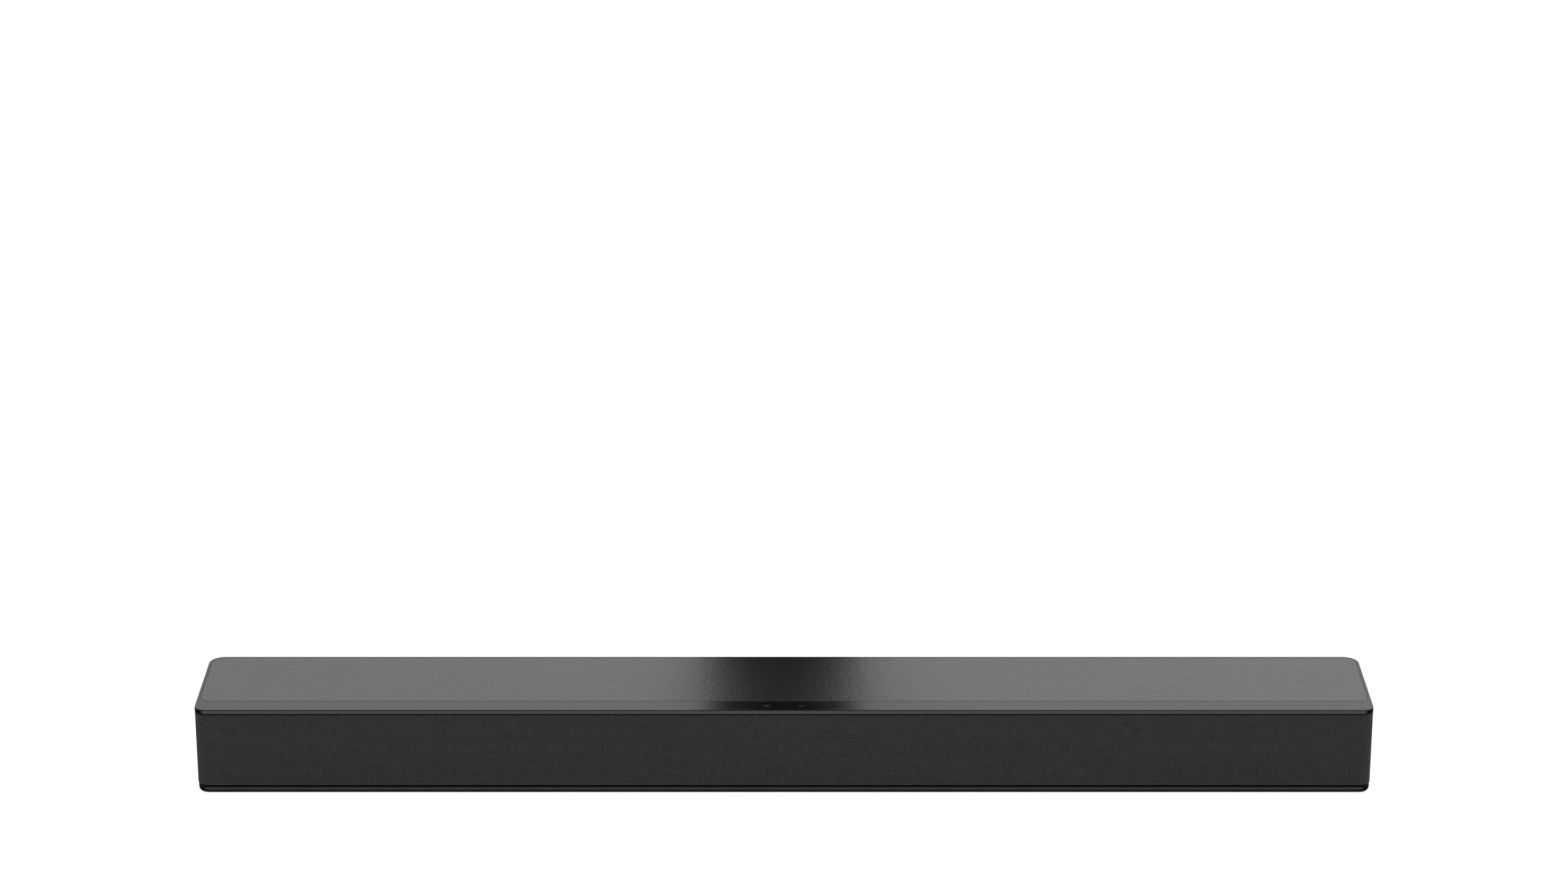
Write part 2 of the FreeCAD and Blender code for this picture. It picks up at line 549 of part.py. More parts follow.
def sign(name, x):
    y = KEY_Y
    z0, z1 = TOP - 0.2, HEIGHT
    t = 0.45
    h = z1 - z0
    if name == "power":
        r = tube(x, y, z0, 1.9, 1.9 - t, h)
        r = r.cut(box(x - 0.62, y, z0 - 1, x + 0.62, y + 3, z1 + 1))
        return [r, box(x - t / 2, y + 0.15, z0, x + t / 2, y + 2.15, z1)]
    if name == "source":
        o = box(x - 1.7, y - 1.7, z0, x + 2.0, y + 1.7, z1).cut(box(x - 1.7 + t, y - 1.7 + t, z0 - 1, x + 2.0 - t, y + 1.7 - t, z1 + 1))
        o = o.cut(box(x - 3, y - 0.95, z0 - 1, x - 1.0, y + 0.95, z1 + 1))
        shaft = box(x - 2.5, y - t / 2, z0, x + 0.0, y + t / 2, z1)
        head = Part.Face(Part.makePolygon([V(x - 0.35, y - 0.85, z0), V(x + 0.75, y, z0), V(x - 0.35, y + 0.85, z0), V(x - 0.35, y - 0.85, z0)])).extrude(V(0, 0, h))
        return [o, fuse(shaft, head)]
    bar = box(x - 1.9, y - t / 2, z0, x + 1.9, y + t / 2, z1)
    if name == "volume_down":
        return [bar]
    return [fuse(bar, box(x - t / 2, y - 1.9, z0, x + t / 2, y + 1.9, z1))]


KEYS = ("power", "source", "volume_down", "volume_up")
tacts = []
for name, x in zip(KEYS, KEY_X):
    k = box(x - KEY_W / 2, KEY_Y - KEY_D / 2, 58.4, x + KEY_W / 2, KEY_Y + KEY_D / 2, TOP)
    k = k.makeFillet(0.08, level_edges(k, TOP))
    k = fuse(k, box(x - 6.3, KEY_Y - 2.4, 58.4, x + 6.3, KEY_Y + 2.4, COVER_Z0 - 0.08), cyl(x, KEY_Y, 56.3, 1.6, 2.5))
    k = fuse(k, sign(name, x))
    keep("key_" + name, k)
    keep("switch_plunger_" + name, cyl(x, KEY_Y, 55.0, 1.65, 1.3))
    body = box(x - 3, KEY_Y - 3, 52.6, x + 3, KEY_Y + 3, 55.6).cut(cyl(x, KEY_Y, 54.4, 1.75, 3))
    tacts.append(body)
keep("tact_switches", group(tacts))

key_board = cut(box(-52, -42.3, 51.0, 52, -31.5, 52.6), [cyl(x, BOARD_POST_Y, 50, 1.35, 5) for x in POST_X])
keep("key_board", key_board)

# ----------------------------------------------------------------- electronics
main = cut(box(-140, -20, BOARD_Z0, 32, 26.2, BOARD_Z1), [cyl(x, y, 10, 1.35, 5) for x, y in BOARD_HOLES[:4]])
keep("main_board", main)
power = cut(box(40, -20, BOARD_Z0, 142, 26.2, BOARD_Z1), [cyl(x, y, 10, 1.35, 5) for x, y in BOARD_HOLES[4:]])
keep("power_board", power)

# The chips and plug-in headers of the main board.
parts = [
    box(-92, -4, BOARD_Z1, -80, 8, 14.8),
    box(-48, -13, BOARD_Z1, -38, -3, 14.6),
    box(-24, 2, BOARD_Z1, -16, 10, 14.6),
    box(-134, -14, BOARD_Z1, -127, -6, 20.4),
    box(24, -14, BOARD_Z1, 31, -6, 20.4),
    box(12.5, -19.6, BOARD_Z1, 23.0, -15.4, 16.4),
]
parts[5] = parts[5].cut(box(13.8, -17.8, 15.2, 22.2, -17.2, 17))
keep("board_components", group(parts))
fins = [box(-116 + i * 5.0, -14, 17.0, -114.6 + i * 5.0, 15, 29.0) for i in range(11)]
keep("heat_sink", fuse(box(-116, -14, 14.8, -64.6, 15, 17.3), fins))
caps = []
for x, y, r, h in ((-56.0, -14.0, 4.0, 11.5), (-30.0, -13.0, 3.15, 9.0), (-122.0, 18.0, 4.0, 11.5), (-132.0, 8.0, 3.15, 9.0), (126.0, 8.0, 9.0, 26.0), (116.0, -12.0, 5.0, 18.0), (74.0, 0.0, 5.0, 12.0)):
    c = cyl(x, y, BOARD_Z1, r, h)
    c = c.makeFillet(0.6, level_edges(c, BOARD_Z1 + h))
    c = c.cut(tube(x, y, BOARD_Z1 + 1.6, r + 1, r - 0.35, 0.7))
    caps.append(c)
keep("filter_capacitors", group(caps))
keep("output_inductors", group([box(x, y, BOARD_Z1, x + 7, y + 7, BOARD_Z1 + 5) for x, y in ((-126.0, -4.5), (-126.0, 4.5), (-56.0, -7.5), (-56.0, 1.5))]))
core = box(84, -12, BOARD_Z1 + 1, 108, 12, 34).cut(box(80, -6, 19, 112, 6, 29.5))
core = fuse(core, box(92.5, -6.5, 18.5, 99.5, 6.5, 30))
keep("power_transformer", fuse(core, box(86.5, -13.5, 19.2, 105.5, 13.5, 29.3), box(86, -11, BOARD_Z1, 106, 11, BOARD_Z1 + 1.2)))
radio = fuse(box(-22, -18, BOARD_Z1, -4, -5, 14.6), box(-20.5, -16.5, 14.5, -8.5, -6.5, 16.8))
keep("radio_module", radio)

keep("display_board", cut(box(-30, -39.5, 29.0, 30, -38.0, 44.0), [cyl(x, -45, z, 1.35, 10, (0, 1, 0)) for x in (-26.0, 26.0) for z in (32.0, 41.0)]))
leds = [box(x - 1.0, -40.6, 35.5, x + 1.0, -39.5, 37.5) for x in (-12.0, -4.0, 4.0)]
ir = box(12.0, -42.0, 33.5, 18.0, -39.5, 40.5)
ir = fuse(ir, Part.makeSphere(2.2, V(15.0, -41.2, 37.0)).common(box(10, -42.9, 33, 20, -41.0, 41)))
keep("display_lights_and_receiver", group(leds + [ir]))

bscrews = [screw(x, y, BOARD_Z1, (0, 0, -1), 2.3, 1.6, 1.25, 7.0) for x, y in BOARD_HOLES]
bscrews += [screw(x, BOARD_POST_Y, 51.0, (0, 0, 1), 2.3, 1.6, 1.25, 5.2) for x in POST_X]
bscrews += [screw(x, -39.5, z, (0, 1, 0), 2.3, 1.4, 1.25, 4.8) for x in (-26.0, 26.0) for z in (32.0, 41.0)]
keep("board_screws", group(bscrews))

# ------------------------------------------------------------------- sockets
MOUTH = 28.9


def hdmi_profile(w, h, c, y):
    x, z = HDMI_X, HDMI_Z
    p = [(-w, h), (w, h), (w, -h + c), (w - c, -h), (-w + c, -h), (-w, -h + c)]
    return Part.Face(Part.makePolygon([V(x + a, y, z + b) for a, b in p + p[:1]]))


hdmi = hdmi_profile(7.5, 2.85, 1.7, 16.5).extrude(V(0, MOUTH - 16.5, 0))
hdmi = hdmi.cut(hdmi_profile(7.0, 2.3, 1.5, 18.5).extrude(V(0, 20, 0)))
hdmi = fuse(hdmi, box(HDMI_X - 5.3, 17.5, HDMI_Z - 0.1, HDMI_X + 5.3, 27.2, HDMI_Z + 0.9))
keep("hdmi_socket", hdmi)

usb = box(USB_X - 6.65, 15.0, USB_Z - 2.95, USB_X + 6.65, MOUTH, USB_Z + 2.95)
usb = usb.cut(box(USB_X - 6.25, 17.0, USB_Z - 2.55, USB_X + 6.25, 40, USB_Z + 2.55))
usb = fuse(usb, box(USB_X - 5.6, 16.0, USB_Z + 0.3, USB_X + 5.6, 27.4, USB_Z + 2.1))
keep("usb_socket", usb)

# The optical socket's shutter hangs on two pins at the top of the mouth and swings inward.
HINGE_Y, HINGE_Z = 27.4, OPT_Z + 3.7
opt = box(OPT_X - 5.5, 12.0, OPT_Z - 5.5, OPT_X + 5.5, MOUTH, OPT_Z + 5.5)
opt = opt.cut(box(OPT_X - 4.2, 17.5, OPT_Z - 4.2, OPT_X + 4.2, 40, OPT_Z + 4.6))
opt = opt.cut(cyl(OPT_X - 4.9, HINGE_Y, HINGE_Z, 0.65, 9.8, (1, 0, 0)))
opt = opt.cut(cyl(OPT_X, 14.5, OPT_Z, 1.3, 5, (0, 1, 0)))
keep("optical_socket", opt)
flap = box(OPT_X - 3.85, HINGE_Y - 0.45, OPT_Z - 3.9, OPT_X + 3.85, HINGE_Y + 0.45, HINGE_Z)
flap = fuse(flap, cyl(OPT_X - 4.8, HINGE_Y, HINGE_Z, 0.6, 9.6, (1, 0, 0)))
keep("optical_shutter", flap)

aux = box(AUX_X - 5.5, 13.0, BOARD_Z1, AUX_X + 5.5, 26.2, AUX_Z + 4.2)
aux = fuse(aux, cyl(AUX_X, 26.0, AUX_Z, 3.9, MOUTH - 26.0 + 0.3, (0, 1, 0)))
aux = aux.cut(cyl(AUX_X, MOUTH + 0.3 - 14.0, AUX_Z, 1.8, 20, (0, 1, 0)))
keep("aux_jack", aux)

ac = box(AC_X - 11.0, 12.0, AC_Z - 7.0, AC_X + 11.0, MOUTH, AC_Z + 7.0)
ac = cut(
    ac,
    fuse(cyl(AC_X - 4.3, 17.0, AC_Z, 4.2, 20, (0, 1, 0)), cyl(AC_X + 4.3, 17.0, AC_Z, 4.2, 20, (0, 1, 0)), box(AC_X - 4.3, 17.0, AC_Z - 3.6, AC_X + 4.3, 37, AC_Z + 3.6)),
    [cyl(AC_X + s * 4.3, 10, AC_Z, 1.2, 10, (0, 1, 0)) for s in (-1, 1)],
)
keep("ac_inlet", ac)
pins = []
for s in (-1, 1):
    p = cyl(AC_X + s * 4.3, 9.5, AC_Z, 1.2, 17.0, (0, 1, 0))
    p = p.makeFillet(0.5, [e for e in p.Edges if len(e.Vertexes) == 1 and abs(e.CenterOfMass.y - 26.5) < 1e-6])
    pins.append(p)
keep("ac_inlet_pins", group(pins))

# --------------------------------------------------------------- inner leads
keep("left_speaker_lead", lead(LEFT_LEAD, 1.4))
keep("right_speaker_lead", lead(RIGHT_LEAD, 1.4))
rib_path, rib_len = route([(18, -32.6, 50.9), (18, -32.6, 30.0), (18, -17.5, 21.5), (18, -17.5, 15.3)], [5.0, 5.0])
sec = Part.makePolygon([V(14, -32.75, 50.9), V(22, -32.75, 50.9), V(22, -32.45, 50.9), V(14, -32.45, 50.9), V(14, -32.75, 50.9)])
rib = rib_path.makePipeShell([sec], True, False)
rib = rib.Solids[0] if rib.Solids else Part.Solid(rib)
print("ribbon length %.1f mm, volume ratio %.4f" % (rib_len, rib.Volume / (8 * 0.3 * rib_len)))
keep("key_ribbon", rib)

# ---------------------------------------------------------------------- write
total = 0
for name, shape in OUT.items():
    if not shape.isValid():
        print("not valid:", name)
    if shape.Volume <= 0:
        print("no volume:", name)
    shape.exportStep("parts/%s.step" % name)
    total += 1
print("nodes", total)
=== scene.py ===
import math

import bmesh
import bpy
from mathutils import Matrix, Vector

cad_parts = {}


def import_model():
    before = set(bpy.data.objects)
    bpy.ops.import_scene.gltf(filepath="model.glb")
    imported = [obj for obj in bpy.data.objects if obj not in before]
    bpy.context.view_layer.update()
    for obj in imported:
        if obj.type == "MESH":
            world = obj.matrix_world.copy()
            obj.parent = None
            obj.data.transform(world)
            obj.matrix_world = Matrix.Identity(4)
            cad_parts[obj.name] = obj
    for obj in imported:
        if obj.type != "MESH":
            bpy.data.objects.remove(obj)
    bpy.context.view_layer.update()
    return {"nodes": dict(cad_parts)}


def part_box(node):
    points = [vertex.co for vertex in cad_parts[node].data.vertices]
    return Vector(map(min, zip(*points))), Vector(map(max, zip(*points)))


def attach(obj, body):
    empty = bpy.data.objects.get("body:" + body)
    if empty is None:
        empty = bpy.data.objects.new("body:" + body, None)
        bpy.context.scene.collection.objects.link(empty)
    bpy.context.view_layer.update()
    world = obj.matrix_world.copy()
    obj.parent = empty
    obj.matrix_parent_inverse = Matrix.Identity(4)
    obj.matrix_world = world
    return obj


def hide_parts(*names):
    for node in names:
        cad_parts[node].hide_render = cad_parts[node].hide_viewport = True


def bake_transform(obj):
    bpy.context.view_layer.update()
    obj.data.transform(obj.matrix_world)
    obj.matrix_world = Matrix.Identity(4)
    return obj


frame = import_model()
NODES = frame["nodes"]
scene = bpy.context.scene
scene.view_settings.view_transform = "Standard"
scene.view_settings.look = "None"

MM = 0.001

# ------------------------------------------------------------ size of the bar
HW, DEPTH, TOP = 400.0, 93.0, 62.0
R_FRONT, R_BACK = 8.0, 10.5
FRONT_Y, BACK_Y = -DEPTH / 2, DEPTH / 2
KEY_X = {"power": -34.5, "source": -11.5, "volume_down": 11.5, "volume_up": 34.5}
KEY_Y = -39.1
SCREW_X = (-375.0, -130.0, 130.0, 375.0)
SCREW_YF, SCREW_YB = -29.0, 39.5


# =========================================================== camera and light
def camera():
    data = bpy.data.cameras.new("camera")
    data.sensor_width = 36.0
    data.lens = 94.23
    data.clip_start, data.clip_end = 0.02, 60.0
    cam = bpy.data.objects.new("camera", data)
    scene.collection.objects.link(cam)
    cam.location = (0.0, -2.5928, 1.18512)
    cam.rotation_euler = (math.radians(69.9545), 0.0, 0.0)
    scene.camera = cam
    return cam


def area(name, at, look, size, size_y, power, glossy=False):
    data = bpy.data.lights.new(name, "AREA")
    data.shape = "RECTANGLE"
    data.size, data.size_y = size, size_y
    data.energy = power
    o = bpy.data.objects.new(name, data)
    scene.collection.objects.link(o)
    o.location = at
    o.rotation_euler = (Vector(look) - Vector(at)).to_track_quat("-Z", "Y").to_euler()
    o.visible_glossy = glossy
    return o


class Tree:
    """A small helper that adds and links shader nodes."""

    def __init__(self, tree):
        self.t = tree

    def node(self, kind, **settings):
        n = self.t.nodes.new(kind)
        for k, v in settings.items():
            setattr(n, k, v)
        return n

    def put(self, value, socket):
        if isinstance(value, (int, float)):
            socket.default_value = value
        elif isinstance(value, (tuple, list)):
            n = len(socket.default_value)
            socket.default_value = (tuple(value) + (1.0,))[:n] if len(value) < n else tuple(value)
        elif value is not None:
            self.t.links.new(value, socket)

    def math(self, op, a, b=None, c=None, clamp=False):
        n = self.node("ShaderNodeMath", operation=op, use_clamp=clamp)
        for i, v in enumerate((a, b, c)):
            if v is not None:
                self.put(v, n.inputs[i])
        return n.outputs[0]

    def mapping(self, vector, scale=(1, 1, 1), location=(0, 0, 0), rotation=(0, 0, 0)):
        n = self.node("ShaderNodeMapping")
        self.put(vector, n.inputs["Vector"])
        self.put(scale, n.inputs["Scale"])
        self.put(location, n.inputs["Location"])
        self.put(rotation, n.inputs["Rotation"])
        return n.outputs[0]

    def noise(self, vector, scale, detail=2.0, rough=0.5, distortion=0.0):
        n = self.node("ShaderNodeTexNoise")
        self.put(vector, n.inputs["Vector"])
        self.put(scale, n.inputs["Scale"])
        self.put(detail, n.inputs["Detail"])
        self.put(rough, n.inputs["Roughness"])
        self.put(distortion, n.inputs["Distortion"])
        return n.outputs["Fac"]

    def voronoi(self, vector, scale, feature="SMOOTH_F1", smooth=0.6, random=1.0, out="Distance"):
        n = self.node("ShaderNodeTexVoronoi", feature=feature)
        self.put(vector, n.inputs["Vector"])
        self.put(scale, n.inputs["Scale"])
        self.put(random, n.inputs["Randomness"])
        if feature == "SMOOTH_F1":
            self.put(smooth, n.inputs["Smoothness"])
        return n.outputs[out]

    def remap(self, v, a, b, c, d, kind="LINEAR"):
        n = self.node("ShaderNodeMapRange", interpolation_type=kind)
        self.put(v, n.inputs["Value"])
        for k, x in (("From Min", a), ("From Max", b), ("To Min", c), ("To Max", d)):
            self.put(x, n.inputs[k])
        return n.outputs["Result"]

    def mix_colour(self, fac, a, b):
        n = self.node("ShaderNodeMix", data_type="RGBA", clamp_factor=True)
        self.put(fac, n.inputs[0])
        self.put(a, n.inputs[6])
        self.put(b, n.inputs[7])
        return n.outputs[2]

    def bump(self, height, distance, strength=1.0, normal=None):
        n = self.node("ShaderNodeBump")
        self.put(strength, n.inputs["Strength"])
        self.put(distance, n.inputs["Distance"])
        self.put(height, n.inputs["Height"])
        if normal is not None:
            self.put(normal, n.inputs["Normal"])
        return n.outputs["Normal"]

    def xyz(self, vector):
        n = self.node("ShaderNodeSeparateXYZ")
        self.put(vector, n.inputs[0])
        return n.outputs

    def combine(self, x, y, z):
        n = self.node("ShaderNodeCombineXYZ")
        for i, v in enumerate((x, y, z)):
            self.put(v, n.inputs[i])
        return n.outputs[0]


def world():
    """Soft studio surroundings: a pale band low down behind and beside the bar, bright paper in front of it, and a dark ceiling."""
    w = bpy.data.worlds.new("studio")
    scene.world = w
    w.use_nodes = True
    t = Tree(w.node_tree)
    w.node_tree.nodes.clear()
    d = t.xyz(t.node("ShaderNodeTexCoord").outputs["Generated"])
    x, y, z = d[0], d[1], d[2]
    # the pale band, from the floor up to about 40 degrees, behind and at the sides
    low = t.remap(z, 0.68, 0.90, 1.0, 0.42, "SMOOTHSTEP")
    rise = t.remap(z, 0.50, 0.66, 1.0, 1.10, "SMOOTHSTEP")
    behind = t.remap(y, -0.35, 0.15, 0.40, 1.0, "SMOOTHSTEP")
    tilt = t.math("ADD", 1.0, t.math("MULTIPLY", x, 0.45))
    band = t.math("MULTIPLY", t.math("MULTIPLY", low, behind), t.math("MULTIPLY", t.math("MULTIPLY", tilt, rise), 1.20))
    # below the horizon: bright paper in front, less at the sides, some at the back
    length = t.math("SQRT", t.math("ADD", t.math("MULTIPLY", x, x), t.math("ADD", t.math("MULTIPLY", y, y), 1e-4)))
    ahead = t.math("DIVIDE", t.math("MULTIPLY", y, -1.0), length)
    paper = t.remap(ahead, 0.58, 0.95, 0.02, 1.98, "SMOOTHSTEP")
    rear = t.remap(ahead, -0.97, -0.85, 0.8, 0.0, "SMOOTHSTEP")
    steep = t.remap(z, -0.61, -0.42, 0.03, 1.0, "SMOOTHSTEP")
    under = t.math("MULTIPLY", t.math("ADD", paper, rear), steep)
    above = t.remap(z, -0.10, -0.02, 0.0, 1.0, "SMOOTHSTEP")
    total = t.math("ADD", t.math("MULTIPLY", band, above), t.math("MULTIPLY", under, t.math("SUBTRACT", 1.0, above)))
    total = t.math("ADD", total, 0.02)
    shine = t.node("ShaderNodeBackground")
    t.put((1.0, 1.0, 1.0, 1.0), shine.inputs["Color"])
    t.put(total, shine.inputs["Strength"])
    plain = t.node("ShaderNodeBackground")
    t.put((1.0, 1.0, 1.0, 1.0), plain.inputs["Color"])
    t.put(0.50, plain.inputs["Strength"])
    white = t.node("ShaderNodeBackground")
    t.put((1.0, 1.0, 1.0, 1.0), white.inputs["Color"])
    t.put(1.05, white.inputs["Strength"])
    path = t.node("ShaderNodeLightPath")
    one = t.node("ShaderNodeMixShader")
    t.put(path.outputs["Is Glossy Ray"], one.inputs[0])
    t.put(plain.outputs[0], one.inputs[1])
    t.put(shine.outputs[0], one.inputs[2])
    two = t.node("ShaderNodeMixShader")
    t.put(path.outputs["Is Camera Ray"], two.inputs[0])
    t.put(one.outputs[0], two.inputs[1])
    t.put(white.outputs[0], two.inputs[2])
    out = t.node("ShaderNodeOutputWorld")
    t.put(two.outputs[0], out.inputs["Surface"])


def stage():
    """The pale floor, the soft lights, and a narrow dark card behind the bar that only shows in reflections."""
    mesh = bpy.data.meshes.new("floor")
    s = 30.0
    mesh.from_pydata([(-s, -s, 0), (s, -s, 0), (s, s, 0), (-s, s, 0)], [], [(0, 1, 2, 3)])
    floor = bpy.data.objects.new("floor", mesh)
    scene.collection.objects.link(floor)
    m = bpy.data.materials.new("pale_floor")
    m.use_nodes = True
    t = Tree(m.node_tree)
    p = m.node_tree.nodes["Principled BSDF"]
    t.put((0.88, 0.88, 0.88), p.inputs["Base Color"])
    t.put(0.9, p.inputs["Roughness"])
    t.put((1.0, 1.0, 1.0), p.inputs["Emission Color"])
    t.put(0.42, p.inputs["Emission Strength"])
    mesh.materials.append(m)
    floor.visible_glossy = False

    card = bpy.data.meshes.new("dark_card")
    y = 0.3165
    xs = (-0.125, -0.0585, 0.0555, 0.140)
    card.from_pydata([(a, y, b) for a in xs for b in (0.0, 0.37)], [], [(0, 2, 3, 1), (2, 4, 5, 3), (4, 6, 7, 5)])
    o = bpy.data.objects.new("dark_card", card)
    scene.collection.objects.link(o)
    m = bpy.data.materials.new("dark_card")
    m.use_nodes = True
    t = Tree(m.node_tree)
    p = m.node_tree.nodes["Principled BSDF"]
    t.put((0.004, 0.004, 0.004), p.inputs["Base Color"])
    t.put(0.9, p.inputs["Roughness"])
    t.put(0.0, p.inputs["Specular IOR Level"])
    # solid between its edges, with a thin veil that dies away to either side
    x = t.xyz(t.node("ShaderNodeTexCoord").outputs["Object"])[0]
    veil = t.math("MULTIPLY", t.remap(x, -0.120, -0.015, 0.0, 0.13), t.remap(x, 0.015, 0.138, 1.0, 0.0))
    body = t.math("MULTIPLY", t.math("GREATER_THAN", x, -0.0585), t.math("LESS_THAN", x, 0.0555))
    solid = t.math("ADD", t.math("MULTIPLY", body, 0.87), veil)
    clear = t.node("ShaderNodeBsdfTransparent")
    mix = t.node("ShaderNodeMixShader")
    t.put(solid, mix.inputs[0])
    t.put(clear.outputs[0], mix.inputs[1])
    t.put(p.outputs[0], mix.inputs[2])
    t.put(mix.outputs[0], m.node_tree.nodes["Material Output"].inputs["Surface"])
    card.materials.append(m)
    o.visible_camera = False
    o.visible_diffuse = False
    o.visible_shadow = False
    o.visible_transmission = False

    area("key_light", (0.0, -2.3, 1.5), (0.0, 0.0, 0.0), 3.0, 1.6, 66.0)
    area("top_light", (0.0, 0.3, 2.6), (0.0, 0.0, 0.0), 3.4, 2.4, 34.0)
    area("back_light", (0.0, 2.4, 1.5), (0.0, 0.0, 0.0), 3.0, 1.4, 36.0)


camera()
world()
stage()


# ================================================================== materials
def principled(name):
    m = bpy.data.materials.new(name)
    m.use_nodes = True
    return m, Tree(m.node_tree), m.node_tree.nodes["Principled BSDF"]


def moulded(name, rgb, rough, grain=0.00045, depth=0.00001, spread=0.06, tint=0.06, spec=0.5, cloud=18.0):
    """Moulded plastic: a fine spark texture, and roughness and tone that wander a little."""
    m, t, p = principled(name)
    at = t.node("ShaderNodeTexCoord").outputs["Object"]
    wander = t.noise(at, cloud, 3.0, 0.6)
    fine = t.noise(at, 1.0 / grain, 2.0, 0.6)
    pits = t.voronoi(at, 0.7 / grain, "F1")
    lo = tuple(c * (1 - tint) for c in rgb)
    hi = tuple(c * (1 + tint) for c in rgb)
    t.put(t.mix_colour(wander, lo, hi), p.inputs["Base Color"])
    r = t.math("ADD", t.remap(wander, 0.3, 0.7, rough - spread / 2, rough + spread / 2), t.remap(fine, 0.3, 0.7, -spread / 4, spread / 4))
    t.put(r, p.inputs["Roughness"])
    t.put(spec, p.inputs["Specular IOR Level"])
    h = t.math("ADD", t.math("MULTIPLY", fine, 0.6), t.math("MULTIPLY", pits, 0.4))
    t.put(t.bump(h, depth), p.inputs["Normal"])
    return m


def satin_lid():
    """The lid's smooth satin plastic."""
    m, t, p = principled("satin_black_plastic")
    at = t.node("ShaderNodeTexCoord").outputs["Object"]
    wander = t.noise(at, 9.0, 3.0, 0.6)
    fine = t.noise(at, 3800.0, 1.0, 0.5)
    t.put(t.mix_colour(wander, (0.0013, 0.0013, 0.00135), (0.0019, 0.0019, 0.00195)), p.inputs["Base Color"])
    t.put(t.math("ADD", t.remap(wander, 0.3, 0.7, 0.195, 0.225), t.remap(fine, 0.3, 0.7, -0.01, 0.01)), p.inputs["Roughness"])
    t.put(1.46, p.inputs["IOR"])
    t.put(t.bump(fine, 0.0000012), p.inputs["Normal"])
    return m


def leather_grain():
    """The inlay's fine leather grain: small rounded cells with soft creases, uneven in size."""
    m, t, p = principled("leather_grained_film")
    at = t.node("ShaderNodeTexCoord").outputs["Object"]
    bend = t.noise(at, 260.0, 2.0, 0.5)
    warp = t.node("ShaderNodeVectorMath", operation="ADD")
    shift = t.math("MULTIPLY", t.math("SUBTRACT", bend, 0.5), 0.0012)
    t.put(at, warp.inputs[0])
    t.put(t.combine(shift, t.math("MULTIPLY", shift, -0.8), shift), warp.inputs[1])
    at2 = warp.outputs[0]
    cells = t.voronoi(at2, 800.0, "SMOOTH_F1", 0.75)
    small = t.voronoi(at2, 2300.0, "SMOOTH_F1", 0.8)
    rolls = t.noise(at, 620.0, 3.0, 0.55, 0.3)
    swell = t.noise(at, 250.0, 2.0, 0.5)
    h = t.math("ADD", t.math("MULTIPLY", cells, -0.70), t.math("ADD", t.math("MULTIPLY", small, -0.15), t.math("MULTIPLY", rolls, 0.60)))
    h = t.math("ADD", h, t.math("MULTIPLY", swell, 2.6))
    wander = t.noise(at, 12.0, 3.0, 0.6)
    t.put(t.mix_colour(wander, (0.0011, 0.0011, 0.00115), (0.0018, 0.0018, 0.00185)), p.inputs["Base Color"])
    t.put(t.math("ADD", t.remap(wander, 0.3, 0.7, 0.285, 0.315), t.remap(cells, 0.0, 0.7, -0.03, 0.03)), p.inputs["Roughness"])
    t.put(1.665, p.inputs["IOR"])
    t.put(t.bump(h, 0.000043), p.inputs["Normal"])
    return m


